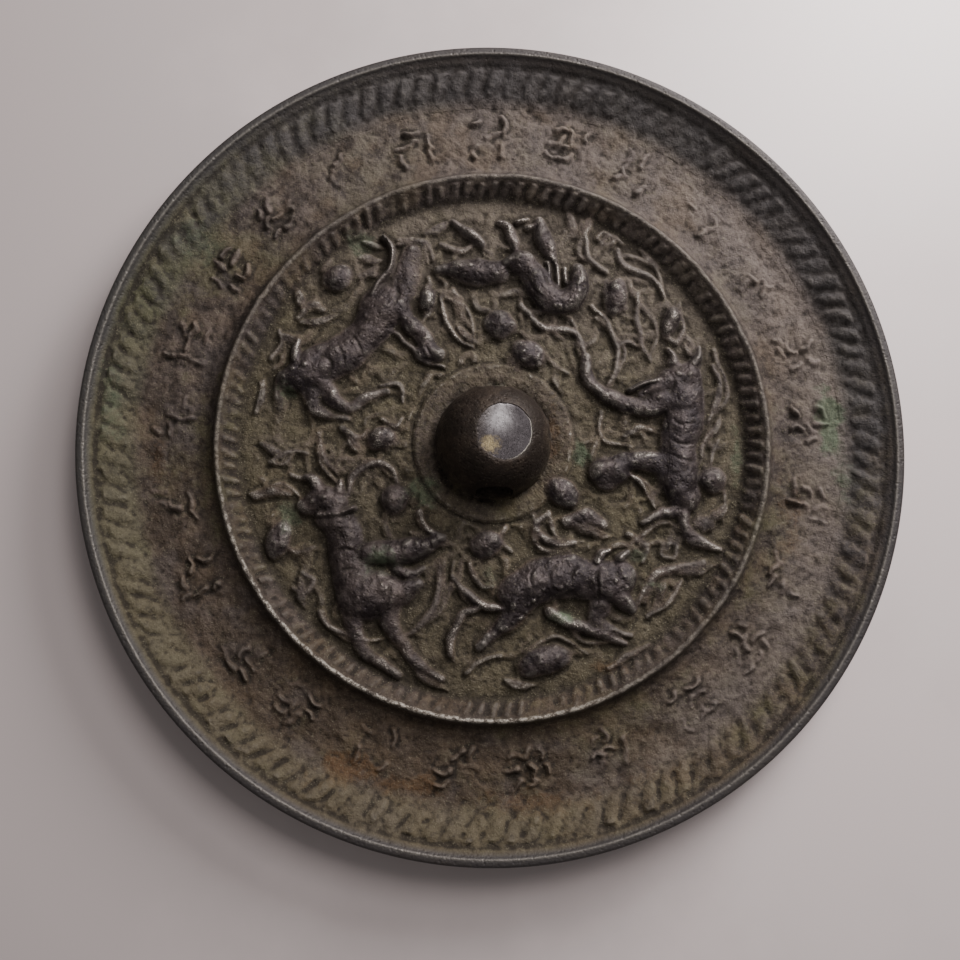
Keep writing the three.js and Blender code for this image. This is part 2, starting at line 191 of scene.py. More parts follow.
RUNNER = (
    ((146, -206, 106, -199, 66, -206, 36, -224), (28, 30, 32, 29), 24),
    ((166, -206, 182, -202), (31, 26), 25), ((174, -216, 188, -234, 200, -246), (21, 15, 8), 22),
    ((152, -176, 159, -164, 170, -159), (8, 7, 3), 20), ((186, -174, 198, -164), (7, 3), 19),
    ((36, -226, 28, -256, 6, -276, -18, -298), (28, 19, 12, 7), 20),
    ((84, -250, 115, -267, 150, -276, 189, -296), (8, 8, 8, 4), 15),
    ((154, -244, 152, -262, 172, -276, 198, -284), (16, 10, 6, 4), 16),
    ((12, -246, -10, -244, -34, -227, -60, -199), (5, 6, 5.5, 4), 13),
    ((-18, -242, -45, -256, -60, -280, -66, -314), (5, 6, 5.5, 3.5), 12),
)
DANCER = (
    ((-238, -106, -219, -134, -214, -170, -202, -204, -182, -230), (23, 23, 24, 29, 32), 25),
    ((-234, -94, -254, -90, -276, -97), (20, 22, 12), 24),
    ((-256, -109, -232, -110, -206, -101), (4, 4.5, 4), 26),
    ((-256, -72, -266, -59, -280, -53), (9, 7, 3), 18), ((-226, -76, -224, -60), (8, 3), 18),
    ((-194, -228, -164, -224), (32, 31), 27), ((-156, -229, -132, -220, -110, -208), (22, 17, 7), 21),
    ((-184, -168, -144, -163, -110, -158, -78, -144), (16, 18, 15, 7), 21),
    ((-109, -104, -98, -128, -80, -141), (3, 3.5, 5), 12),
    ((-204, -248, -204, -276, -186, -306, -162, -324, -140, -340), (20, 12, 9, 9, 6), 18),
    ((-154, -244, -146, -274, -127, -303, -104, -328, -76, -343), (20, 13, 9, 9, 6), 18),
    ((-254, -250, -234, -272, -206, -287, -184, -291), (3, 4, 4, 3), 11),
    ((-146, -188, -122, -195, -102, -186), (8, 9, 4), 13),
)
BEASTS = (CLIMBER, DIVER, GUARD, RUNNER, DANCER)

# Beaded manes and spines, in tenths of a millimetre: the path, the beads' radius and their height
BEADED = (
    ((120, -197, 100, -210, 80, -215, 64, -228, 50, -253, 30, -267, 8, -277, -16, -294), 4.2, 4.2),
    ((143, -189, 146, -208, 142, -228), 3.4, 3),
    ((131, 256, 129, 236, 120, 219, 104, 207, 88, 204), 3.8, 3.6),
    ((-198, -214, -182, -206, -166, -209, -154, -218), 3.2, 3),
    ((-204, -234, -188, -226, -170, -226), 3.2, 2.8), ((-216, -103, -202, -120, -194, -144), 3.2, 3),
    ((-140, -152, -122, -149, -104, -149), 3, 2.8), ((-194, 204, -186, 182, -196, 162), 3.6, 3),
    ((-236, 142, -214, 150, -194, 158), 3, 2.6), ((254, 24, 251, 2, 256, -20), 3.4, 3),
    ((-139, -72, -129, -82, -125, -96), 3.2, 3),
)

# Locks and toes cut into the beasts, in tenths of a millimetre: the path, its half width and its depth
CUT_LINES = (
    ((-210, 160, -200, 140, -194, 124), 2.2, 3), ((-232, 146, -224, 126, -224, 110), 2.2, 3),
    ((-252, 126, -242, 112, -244, 94), 2.5, 3.5), ((-156, 196, -144, 218, -144, 240), 2.2, 2.5),
    ((-99, 146, -92, 130), 2, 3), ((60, 274, 72, 260, 84, 236), 2.2, 3),
    ((46, 254, 60, 232, 76, 214), 2, 2.2), ((266, 34, 280, 24, 300, 26), 2.2, 3),
    ((262, 6, 278, -4, 296, -2), 2.2, 2.8), ((260, -20, 276, -28, 294, -28), 2.2, 2.8),
    ((262, 106, 269, 88, 262, 70), 2.2, 3), ((124, -184, 112, -196, 110, -212), 2.2, 3),
    ((94, -178, 82, -192, 80, -210), 2.2, 3), ((62, -182, 52, -198, 54, -220), 2.2, 2.8),
    ((154, -186, 149, -206, 150, -234), 2.5, 3.5), ((-232, -136, -216, -130, -200, -134), 2.2, 2.8),
    ((-232, -166, -216, -160, -196, -166), 2.2, 2.8), ((-226, -194, -208, -188, -186, -192), 2.2, 2.8),
    ((-152, -206, -150, -226, -158, -248), 2.5, 3.5), ((-96, -144, -90, -160), 2, 3),
)

# Eyes and nostrils, in tenths of a millimetre: x, y, radius and height
EYES = (
    (-278, 113, 5.5, 3.5), (-296, 106, 4.5, 3), (-310, 94, 3, 2.5), (39, 283, 4.5, 3.5), (22, 278, 3, 2.5),
    (-34, 268, 4.5, 3), (275, 103, 5, 4), (291, 102, 5, 4), (226, 76, 3, 2.5), (176, -204, 5, 3.5),
    (194, -216, 4, 3), (-246, -86, 5, 3.5), (-266, -89, 4, 3),
)

# The vine between the beasts, in hundredths of the field's radius. Tendrils: x, y of the root, x, y of
# the tip, and the sideways swell as a share of the length
TENDRILS = (
    (-39, 84, -27, 74, -0.3), (-35, 63, -30, 45, -0.25), (-21, 60, -8, 38, -0.25), (-26, 68, -28, 59, -0.2),
    (12, 55, 36, 31, -0.3), (22, 48, 28, 42, 0.1), (42, 51, 47, 22, -0.3), (59, 58, 64, 34, -0.2),
    (53, 78, 70, 59, -0.25), (37, 90, 47, 72, 0.35), (44, 82, 53, 83, -0.4), (78, 44, 83, 29, -0.1),
    (90, 38, 82, 5, -0.25), (43, 13, 56, -2, 0.35), (-58, -22, -37, -16, -0.55), (-69, 3, -59, -19, 0.2),
    (-96, -21, -72, -27, -0.25), (-88, -8, -79, -4, 0.3), (-30, -28, -20, -38, 0.2),
    (-20, -48, -35, -76, -0.25), (-15, -53, 0, -67, 0.2), (-5, -64, -16, -86, 0.25),
    (-67, -67, -43, -77, 0.25), (16, -29, 30, -43, 0.4), (22, -29, 35, -40, 0.3), (55, -40, 80, -42, -0.35),
    (53, -13, 63, -27, -0.25), (59, -64, 81, -51, -0.25), (27, -70, 46, -78, 0.2),
    (11, -83, 37, -83, -0.25), (-16, 91, 0, 78, 0.1), (84, -9, 91, -32, -0.2),
)

# Leaves, in the same unit: x, y of the stalk, heading in degrees from +X, length, width
LEAVES = (
    (-78, 48, 15, 17, 4), (-86, 44, -25, 12, 4), (-77, 53, 110, 11, 4), (-52, 74, 8, 8, 3),
    (-52, 70, -15, 8, 3), (-52, 83, -20, 8, 3), (-36, 71, 60, 11, 4), (-94, 12, 80, 14, 4),
    (-85, 14, 100, 12, 4), (-92, -1, -20, 12, 4), (33, 86, 105, 12, 4), (37, 86, 75, 11, 4),
    (70, 44, 65, 16, 5), (84, -32, 40, 14, 5), (70, -51, 8, 18, 5), (63, -66, 70, 14, 4),
    (-33, -85, -38, 20, 5), (-76, -54, -80, 12, 4), (88, 12, 75, 12, 3), (86, 2, 60, 12, 3),
    (-28, 86, 25, 13, 4), (5, -93, -10, 12, 4), (56, -86, 30, 14, 4), (-58, 4, -60, 12, 4),
    (30, -31, -20, 18, 6), (-32, -37, -12, 18, 5), (-14, 47, -40, 12, 4), (60, 80, -40, 12, 3),
)

# Fruits and buds, in the same unit: x, y, half length, half width, turn in degrees
FRUITS = (
    (3, 48, 7, 7, 0), (50, 60, 9, 5, 80), (-39, -23, 7, 6, 60), (-84, -39, 9, 5.5, 70), (-3, -41, 7, 6, 20),
    (20, -86, 12, 6.5, 15), (45, -12, 8, 7.5, 0), (87, -15, 6.5, 6, 0), (27, -20, 8, 6, -30),
    (-27, 58, 6, 4, 80), (-63, 67, 6.5, 6, 40), (-45, 1, 7, 5, 30), (14, 36, 8, 6, -40), (72, 50, 7, 4, 70),
)

# Stems, folds and loops of the vine, in tenths of a millimetre: the path, its half width and its height
STEMS = (
    ((-340, 60, -346, 90), 5, 7), ((-320, 50, -310, 76), 5, 7), ((-246, 246, -234, 266, -220, 260), 7, 9),
    ((-256, 262, -246, 280), 6, 8), ((-176, 276, -204, 282), 7, 9), ((-176, 264, -202, 252), 7, 9),
    ((-140, 230, -138, 205, -125, 180, -110, 160), 4.5, 15), ((-99, 236, -96, 214, -102, 192), 9, 12),
    ((-80, 220, -70, 180, -50, 155, -30, 143), 4.5, 10), ((-60, 234, -52, 200, -34, 178), 7, 8),
    ((-170, 85, -140, 87, -136, 60), 4.5, 9), ((-164, 34, -148, 24, -136, 34), 5, 9),
    ((-145, 305, -105, 306, -93, 280), 5, 9), ((-80, 304, -46, 296, -20, 314), 6, 9),
    ((122, 345, 130, 323), 4.5, 9), ((136, 346, 134, 325), 4.5, 8),
    ((140, 330, 142, 300, 150, 280, 175, 265), 4.5, 11),
    ((190, 300, 200, 275, 230, 260, 250, 245, 260, 225), 5, 11),
    ((220, 230, 220, 180, 225, 150, 240, 125), 4.5, 10), ((185, 150, 204, 156, 220, 148), 4, 9),
    ((150, 210, 180, 170, 188, 120, 170, 85), 4.5, 10),
    ((40, 210, 70, 180, 85, 173, 120, 168, 135, 150, 138, 120), 6, 12),
    ((158, 316, 170, 324, 182, 314, 170, 306, 158, 316), 4, 8),
    ((264, 196, 262, 170, 278, 154, 288, 178, 276, 204), 5, 10), ((40, 170, 80, 130, 110, 105), 5, 7),
    ((32, 126, 52, 122), 15, 9), ((306, 120, 290, 150), 5, 9),
    ((334, 120, 340, 90, 335, 60, 320, 30), 5, 10), ((325, 20, 313, -5, 305, -30), 4, 9),
    ((336, 6, 324, -20, 320, -46), 4, 8), ((80, -105, 65, -120, 70, -140, 100, -153, 120, -150), 7, 12),
    ((58, -130, 65, -155, 90, -166, 110, -164), 4.5, 9), ((110, -118, 134, -112, 160, -120), 13, 15),
    ((306, -120, 318, -124), 15, 12), ((250, -152, 270, -154, 266, -172, 249, -168, 250, -152), 4, 8),
    ((310, -180, 274, -186, 240, -198, 210, -240), 7, 11), ((226, -256, 258, -234, 276, -206), 6, 9),
    ((200, -136, 226, -154, 220, -178), 6, 9),
    ((-215, -80, -205, -50, -180, -35, -150, -38, -140, -60), 6, 12),
    ((-80, -185, -80, -220, -95, -255, -120, -280, -140, -282), 6, 11),
    ((-60, -180, -62, -210, -72, -246), 4.5, 8), ((-36, -180, -20, -210, 6, -214), 5, 9),
    ((-255, 0, -250, -30, -230, -50), 4.5, 10), ((-228, 20, -200, 4, -186, 18), 6, 10),
    ((-330, -30, -300, -15, -275, -20), 4.5, 9), ((-350, -82, -324, -76, -300, -80), 8, 11),
    ((-300, -50, -270, -60, -260, -75), 5, 10), ((-170, 0, -150, 2), 15, 12),
    ((-280, -194, -264, -204, -276, -224, -294, -214), 5, 10), ((-310, -150, -286, -164, -264, -156), 5, 9),
    ((-246, -314, -220, -326, -196, -336), 6, 9), ((-40, -336, -20, -320, 10, -314), 5, 9),
    ((20, -128, 6, -148, 24, -164), 6, 9), ((170, -330, 196, -316, 226, -298), 6, 9),
    ((196, 10, 216, 24, 240, 20), 6, 9), ((200, 206, 176, 226, 174, 250), 7, 10),
    ((-294, 186, -276, 206, -254, 200), 7, 9), ((-334, 126, -316, 146, -320, 168), 5, 9),
    ((-220, 308, -194, 324, -174, 336), 5, 8),
)

# Patches of corrosion: x, y, half width, half height in millimetres and how thick they lie
VERDIGRIS = (
    (50.4, 3.5, 2.2, 5.5, 1.0), (52.0, -6.0, 1.8, 6.0, 0.5), (-20.0, 30.0, 3.0, 2.4, 0.6),
    (-55.5, 4.0, 2.2, 9.0, 0.55), (-44.0, 30.0, 5.0, 5.0, 0.45), (12.6, -1.8, 1.8, 2.4, 0.8),
    (-10.4, -7.6, 3.2, 2.6, 0.6), (9.6, -25.6, 3.2, 1.2, 0.8), (-16.0, -18.0, 3.4, 2.6, 0.6),
    (-29.8, -11.0, 2.4, 3.0, 0.6), (36.4, -2.0, 1.4, 6.0, 0.5), (-31.0, 7.2, 2.0, 1.6, 0.6),
    (0.4, 8.6, 3.4, 1.6, 0.35), (21.0, -16.4, 2.0, 1.6, 0.5), (23.0, -21.0, 2.6, 1.2, 0.5),
    (-0.6, -20.4, 2.0, 2.6, 0.35),
)
RUST = (
    (-21.5, -47.0, 6.0, 2.6, 0.9), (-12.0, -49.5, 6.0, 2.4, 0.6), (6.0, -52.0, 14.0, 3.0, 0.5),
    (24.0, -48.0, 8.0, 4.0, 0.35), (44.0, -12.0, 3.0, 8.0, 0.4), (-49.0, -3.0, 1.6, 6.0, 0.4),
    (9.0, 1.5, 1.2, 5.0, 0.5), (16.0, -33.0, 4.0, 1.6, 0.6),
)


def between(values, column, row, eased=False):
    """A grid's value at any place, worked out from the four values round it."""
    left = np.clip(np.floor(column).astype(int), 0, values.shape[1] - 2)
    below = np.clip(np.floor(row).astype(int), 0, values.shape[0] - 2)
    across = column - left
    up = row - below
    if eased:
        across = across * across * (3 - 2 * across)
        up = up * up * (3 - 2 * up)
    lower = values[below, left] * (1 - across) + values[below, left + 1] * across
    upper = values[below + 1, left] * (1 - across) + values[below + 1, left + 1] * across
    return lower * (1 - up) + upper * up


class Board:
    """A square height map of the mirror's back, in millimetres."""

    def __init__(self):
        side = 2 * round(MAP_REACH / MAP_PITCH) + 1
        line = np.linspace(-MAP_REACH, MAP_REACH, side)
        self.x, self.y = np.meshgrid(line, line)
        self.radius = np.hypot(self.x, self.y)
        self.clock = np.arctan2(self.x, self.y)

    def window(self, low, high):
        """The part of the map between two corners."""
        first = [max(int((value + MAP_REACH) / MAP_PITCH), 0) for value in low]
        last = [int((value + MAP_REACH) / MAP_PITCH) + 2 for value in high]
        return slice(first[1], last[1]), slice(first[0], last[0])

    def around(self, x, y, reach_x, reach_y):
        """The part of the map round a point."""
        return self.window((x - reach_x, y - reach_y), (x + reach_x, y + reach_y))

    def read(self, heights, x, y):
        """The map's value at any points, between its own."""
        return between(heights, (x + MAP_REACH) / MAP_PITCH, (y + MAP_REACH) / MAP_PITCH)


def softened(heights, spread):
    """The map blurred by a bell of that spread in millimetres."""
    reach = math.ceil(2.5 * spread / MAP_PITCH)
    steps = np.arange(-reach, reach + 1)
    bell = np.exp(-0.5 * (steps * MAP_PITCH / spread) ** 2)
    bell /= bell.sum()
    for axis in (0, 1):
        heights = sum(share * np.roll(heights, int(step), axis) for share, step in zip(bell, steps))
    return heights


def mottle(x, y, size, seed):
    """Smooth noise from -1 to 1 with lumps about size millimetres across."""
    side = int(2 * MAP_REACH / size) + 4
    values = np.random.default_rng(seed).uniform(-1, 1, (side, side))
    return between(values, (x + MAP_REACH) / size + 1, (y + MAP_REACH) / size + 1, eased=True)


def lumps(x, y, layers):
    """Layers of noise on top of each other."""
    return sum(height * mottle(x, y, size, seed) for height, size, seed in layers)


def merged(first, second, blend):
    """The higher of two surfaces with a fillet where they cross."""
    overlap = np.clip(blend - np.abs(first - second), 0, None) / blend
    return np.maximum(first, second) + overlap * overlap * blend / 4


def smooth_path(points, steps=CURVE_STEPS):
    """A curve through all the points, steps to each stretch."""
    points = np.array(points, float)
    ends = np.vstack([2 * points[0] - points[1], points, 2 * points[-1] - points[-2]])
    curve = []
    for index in range(len(points) - 1):
        before, start, finish, after = ends[index:index + 4]
        for t in np.arange(steps) / steps:
            curve.append(0.5 * (
                2 * start + (finish - before) * t
                + (2 * before - 5 * start + 4 * finish - after) * t * t
                + (3 * start - before - 3 * finish + after) * t ** 3
            ))
    curve.append(points[-1])
    return np.array(curve)


def drawn(rows):
    """The rows of a drawing, each path a smooth curve and each measure in millimetres."""
    for path, *measures in rows:
        yield smooth_path(np.reshape(path, (-1, 2)) / 10), *(np.array(measure) / 10 for measure in measures)


def bowed_path(start, finish, bow):
    """The tendril's path: it swells sideways by bow times its length."""
    start, finish = np.array(start, float), np.array(finish, float)
    chord = finish - start
    middle = (start + finish) / 2 + bow * np.array([chord[1], -chord[0]])
    return smooth_path([start, middle, finish], 8)


def near_path(board, part, path):
    """Each point's distance from a path and its share along the path."""
    x, y = board.x[part], board.y[part]
    nearest = np.full(x.shape, 1e9)
    along = np.zeros(x.shape)
    stretches = np.hypot(*np.diff(path, axis=0).T)
    length = stretches.sum()
    done = 0.0
    for start, finish, stretch in zip(path[:-1], path[1:], stretches):
        heading = (finish - start) / max(stretch, 1e-9)
        reach = np.clip((x - start[0]) * heading[0] + (y - start[1]) * heading[1], 0, stretch)
        distance = np.hypot(x - start[0] - reach * heading[0], y - start[1] - reach * heading[1])
        closer = distance < nearest
        nearest[closer] = distance[closer]
        along[closer] = (done + reach[closer]) / length
        done += stretch
    return nearest, along


def path_part(board, path, margin):
    """The part of the map round a path."""
    return board.window(path.min(0) - margin, path.max(0) + margin)


def crown(share):
    """The cross-section of raised work: 1 on its line, 0 at its edge, below 0 outside."""
    inside = np.clip(1 - share * share, 0, None)
    return np.where(share < 1, inside ** 0.62, 1 - share * share)


def raise_path(board, heights, path, widths, height, blend=0.35):
    """Raises a rounded form along a path, with half widths spread evenly along it."""
    widths = np.array(widths, float)
    part = path_part(board, path, 1.5 * widths.max() + 0.6)
    distance, along = near_path(board, part, path)
    width = np.interp(along, np.linspace(0, 1, len(widths)), widths)
    lift = height * (width / widths.max()) ** 0.45
    heights[part] = merged(heights[part], np.clip(lift * crown(distance / width), -1, None), blend)


def cut_path(board, heights, path, width, depth):
    """Cuts a rounded groove along a path."""
    part = path_part(board, path, width + 0.3)
    distance, along = near_path(board, part, path)
    taper = np.clip(4 * np.minimum(along, 1 - along) + 0.2, 0, 1)
    heights[part] -= depth * taper * np.clip(1 - (distance / width) ** 2, 0, None)


def raise_bead(board, heights, x, y, radius, height):
    """Adds a small round bead on top of what is there."""
    part = board.around(x, y, radius, radius)
    share = np.hypot(board.x[part] - x, board.y[part] - y) / radius
    heights[part] += height * np.clip(1 - share * share, 0, None) ** 0.8


def raise_beads(board, heights, path, radius, height):
    """A row of beads a little apart along a path."""
    chance = np.random.default_rng(len(path) // CURVE_STEPS + 1)
    reach = np.concatenate([[0], np.cumsum(np.hypot(*np.diff(path, axis=0).T))])
    for place in np.arange(0, reach[-1], 1.5 * radius):
        x, y = (np.interp(place, reach, path[:, axis]) + chance.uniform(-0.45, 0.45) for axis in (0, 1))
        raise_bead(board, heights, x, y, 0.75 * radius, chance.uniform(0.3, 0.8) * height)


def raise_fruit(board, heights, x, y, half_length, half_width, turn, height):
    """A fruit: a rounded lump, a little uneven."""
    reach = max(half_length, half_width) * 1.5
    part = board.around(x, y, reach, reach)
    cosine, sine = math.cos(math.radians(turn)), math.sin(math.radians(turn))
    along = ((board.x[part] - x) * cosine + (board.y[part] - y) * sine) / half_length
    across = ((board.y[part] - y) * cosine - (board.x[part] - x) * sine) / half_width
    lump = height * crown(np.hypot(along, across)) + lumps(board.x[part], board.y[part], FRUIT_SEEDS)
    heights[part] = merged(heights[part], np.clip(lump, -1, None), 0.35)


def raise_leaf(board, heights, x, y, heading, length, width, height):
    """A pointed leaf with a groove down its middle."""
    turn = math.radians(heading)
    tip = (x + length * math.cos(turn), y + length * math.sin(turn))
    path = bowed_path((x, y), tip, 0.06)
    raise_path(board, heights, path, (0.25 * width, 0.5 * width, 0.42 * width, 0.08 * width), height, 0.2)
    cut_path(board, heights, path, 0.14, 0.16)


def tangle(board, size, seed, width, height):
    """Thin stems that wind through the field: the level lines of a noise."""
    bends = lumps(board.x, board.y, ((1, size, seed), (0.35, 0.45 * size, seed + 1)))
    slope = np.hypot(*np.gradient(bends, MAP_PITCH))
    share = np.abs(bends) / np.maximum(slope, 0.5 / size) / width
    return height * np.clip(crown(share), 0, None)


def bent(board, heights, size, reach, seed):
    """The map with every outline drawn a little unevenly."""
    places = (
        np.clip(line + reach * mottle(board.x, board.y, size, seed + axis), -MAP_REACH, MAP_REACH)
        for axis, line in enumerate((board.x, board.y))
    )
    return board.read(heights, *places)


def raise_figures(board, sizes):
    """Heights above the field's ground of the beasts and the vine."""
    unit = sizes.field_radius / 100
    heights = np.maximum(*(tangle(board, *stems) for stems in TANGLES))
    heights *= 0.7 + lumps(board.x, board.y, TANGLE_WEAR)
    heights *= np.clip((sizes.field_radius - 1.2 - board.radius) / 1.6, 0, 1)
    heights *= board.radius > sizes.knob_ring_width / 2 + 0.4
    for path, width, height in drawn(STEMS):
        raise_path(board, heights, path, (width, 1.3 * width, 0.8 * width), 0.9 * height, 0.45)
    for x0, y0, x1, y1, bow in TENDRILS:
        path = bowed_path((x0 * unit, y0 * unit), (x1 * unit, y1 * unit), bow)
        raise_path(board, heights, path, (0.5, 0.55, 0.5, 0.3), 0.7, 0.4)
    for x, y, heading, length, width in LEAVES:
        raise_leaf(board, heights, x * unit, y * unit, heading, length * unit, 1.3 * width * unit, 0.9)
    for x, y, half_length, half_width, turn in FRUITS:
        raise_fruit(board, heights, x * unit, y * unit, half_length * unit, half_width * unit, turn, 1.9)
    for beast in BEASTS:
        shape = np.zeros(board.x.shape)
        for path, widths, height in drawn(beast):
            raise_path(board, shape, path, 1.1 * widths + 0.12, height, 0.6)
        shape += lumps(board.x, board.y, BEAST_SKIN) * (shape > 0.3)
        for_beast = shape > 0.02
        heights[for_beast] = np.maximum(heights[for_beast], shape[for_beast])
    for path, width, depth in drawn(CUT_LINES):
        cut_path(board, heights, path, width, depth)
    for path, radius, height in drawn(BEADED):
        raise_beads(board, heights, path, radius, height)
    for eye in EYES:
        raise_bead(board, heights, *(np.array(eye) / 10))
    return bent(board, heights, *FIGURE_BENDS)


def back_section(sizes):
    """Radii and levels of the back from the middle outwards, in millimetres."""
    points = [
        (0, sizes.field_level),
        (sizes.field_radius, sizes.field_level),
        (sizes.field_radius + 0.5, sizes.field_level + 0.35),
        (sizes.ridge_radius - 0.2, sizes.ridge_height - 0.4),
        (sizes.ridge_radius + 0.15, sizes.ridge_height),
        (sizes.ridge_radius + 0.5, sizes.ridge_height - 0.1),
        (sizes.band_radius - 0.4, sizes.band_level + 1.1),
        (sizes.band_radius + 0.5, sizes.band_level + 0.4),
        (sizes.band_radius + 1.6, sizes.band_level + 0.1),
        (sizes.slope_radius - 1.2, sizes.band_level + 0.38),
        (sizes.slope_radius, sizes.band_level + 0.6),
        (sizes.slope_radius + 1.0, sizes.band_level + 0.95),
        (sizes.slope_radius + 2.0, sizes.band_level + 1.4),
        (sizes.rim_radius - 1.2, sizes.rim_height - 1.45),
        (sizes.rim_radius - 0.8, sizes.rim_height - 0.95),
        (sizes.rim_radius - 0.35, sizes.rim_height - 0.5),
        (sizes.rim_radius, sizes.rim_height),
        (DISC_RADIUS, sizes.rim_height),
        (MAP_REACH * 1.5, sizes.rim_height),
    ]
    radii, levels = np.array(points).T
    return radii, levels


def tooth_ring(board, edge, height, outside, length, width, slant):
    """A ring of tongue-shaped teeth that point inwards and lean clockwise outwards."""
    middle = edge + outside
    outwards = board.radius - middle
    turn = board.clock - slant * outwards / middle
    place = turn * TOOTH_COUNT / (2 * math.pi)
    worn_down = np.random.default_rng(TOOTH_SEED).uniform(0.6, 1.1, TOOTH_COUNT)
    worn_down = worn_down[np.round(place).astype(int) % TOOTH_COUNT]
    across = (place - np.round(place)) * 2 * math.pi * middle / TOOTH_COUNT
    inwards = 0.5 - outwards / (length * (0.7 + 0.3 * worn_down))
    narrowing = np.sqrt(np.clip(1 - (np.clip(inwards - 0.55, 0, None) / 0.45) ** 2, 0, 1))
    half = np.maximum(0.5 * width * narrowing, 1e-3)
    lift = np.clip(1 - (across / half) ** 2, 0, None) ** 0.6
    fade = np.clip(inwards / 0.12, 0, 1) * (inwards < 1)
    return height * worn_down * lift * fade * narrowing ** 0.5


def stroke(chance, middle, turn):
    """The path of one short stroke of a mark at that radius and bearing."""
    heading = chance.choice(STROKE_HEADINGS) - turn + chance.uniform(-0.3, 0.3)
    half = chance.uniform(0.6, 1.15)
    place = middle * np.array([math.sin(turn), math.cos(turn)])
    reach = half * np.array([math.cos(heading), math.sin(heading)])
    return bowed_path(place - reach, place + reach, chance.uniform(-0.25, 0.25))


def band_marks(board, sizes):
    """Worn marks round the band: loose strokes that spell nothing."""
    heights = np.zeros(board.x.shape)
    chance = np.random.default_rng(MARK_SEED)
    centre = (sizes.band_radius + sizes.slope_radius) / 2 + 0.7
    for index in range(MARK_COUNT):
        clock = (index + chance.uniform(-0.08, 0.08)) / MARK_COUNT * 2 * math.pi
        for outwards, across in itertools.product(STROKES_OUTWARDS, STROKES_ACROSS):
            if chance.uniform() < STROKES_MISSING:
                continue
            middle = centre + outwards + chance.uniform(-0.35, 0.35)
            turn = clock + (across + chance.uniform(-0.4, 0.4)) / centre
            path = stroke(chance, middle, turn)
            width = chance.uniform(0.38, 0.52)
            height = chance.uniform(0.5, 0.95)
            raise_path(board, heights, path, (width, 0.9 * width, 0.7 * width), height, 0.2)
    return heights


@functools.cache
def relief():
    """The whole back as a height map, and the masks of its wear, hollows and corrosion."""
    sizes = bpy.context.scene.mirror_sizes
    board = Board()
    radii, levels = back_section(sizes)
    ground = np.interp(board.radius, radii, levels)
    wear = 0.8 + lumps(board.x, board.y, UNEVEN_CASTING)
    teeth = (
        tooth_ring(board, sizes.slope_radius, sizes.rim_tooth_height, *RIM_TEETH),
        tooth_ring(board, sizes.field_radius, sizes.ridge_tooth_height, *RIDGE_TEETH),
    )
    marks = bent(board, band_marks(board, sizes) * wear, *MARK_BENDS)
    figures = raise_figures(board, sizes)
    field = sizes.field_level + np.maximum(figures, knob_ring_height(board.radius, sizes))
    plain = ground + sum(bent(board, ring * wear, *TOOTH_BENDS) for ring in teeth) + marks
    inside = board.radius < sizes.ridge_radius - 0.3
    surface = np.where(inside, merged(plain, field, 0.2) - 0.05, plain)
    calm = np.clip((sizes.rim_radius - 0.6 - board.radius) / 0.8, 0, 1)
    calm *= 1 - 0.25 * np.clip(figures / 1.6, 0, 1)
    surface = softened(surface + lumps(board.x, board.y, CRUST) * calm, 0.1)
    high = surface - softened(surface, 0.5)
    deep = softened(surface, 1.3) - surface
    raised = np.clip(figures / 1.5, 0, 1) * (board.radius < sizes.field_radius + 1)
    return board, {
        "height": surface,
        "worn": np.clip(high / 0.26, 0, 1),
        "hollow": np.clip(np.maximum(deep / 0.7, -high / 0.15), 0, 1),
        "figure": np.maximum(raised, np.clip(marks / 0.5, 0, 1) * 0.5),
        "verdigris": patches(board, VERDIGRIS, seed=11),
        "rust": patches(board, RUST, seed=12),
    }


def patches(board, places, seed):
    """Soft-edged patches with ragged outlines."""
    mask = np.zeros(board.x.shape)
    ragged = lumps(board.x, board.y, ((0.35, 1.6, seed), (0.25, 0.7, seed + 40)))
    for x, y, half_width, half_height, thickness in places:
        part = board.around(x, y, 2 * half_width, 2 * half_height)
        share = np.hypot((board.x[part] - x) / half_width, (board.y[part] - y) / half_height)
        here = thickness * np.clip(1.25 - share + ragged[part], 0, 1)
        mask[part] = np.maximum(mask[part], here)
    return mask


def knob_ring_height(radius, sizes):
    """Height of the low ring round the knob above the field's ground."""
    outer = sizes.knob_ring_width / 2
    points = [0, sizes.knob_width / 2 + 0.3, outer - 2.3, outer - 0.6, outer]
    heights = [0.3, 0.3, sizes.knob_ring_height, sizes.knob_ring_height, 0]
    return np.interp(radius, points, heights)


def blank_rows(start, finish, pitch):
    """The uncarved top from one radius to another, in rows at about that pitch."""
    count = max(round(abs(finish - start) / pitch), 1) + 1
    return [(radius, BLANK_LEVEL) for radius in np.linspace(start, finish, count)]


def placed(name, data):
    """A new object in the scene, at the origin."""
    thing = bpy.data.objects.new(name, data)
    bpy.context.scene.collection.objects.link(thing)
    return thing


def meshed(name, work):
    """A mesh made of finished work."""
    mesh = bpy.data.meshes.new(name)
    work.to_mesh(mesh)
    work.free()
    return mesh


def corners(mesh):
    """The places of a mesh's corners, a row to each."""
    places = np.empty(len(mesh.vertices) * 3)
    mesh.vertices.foreach_get("co", places)
    return places.reshape(-1, 3)


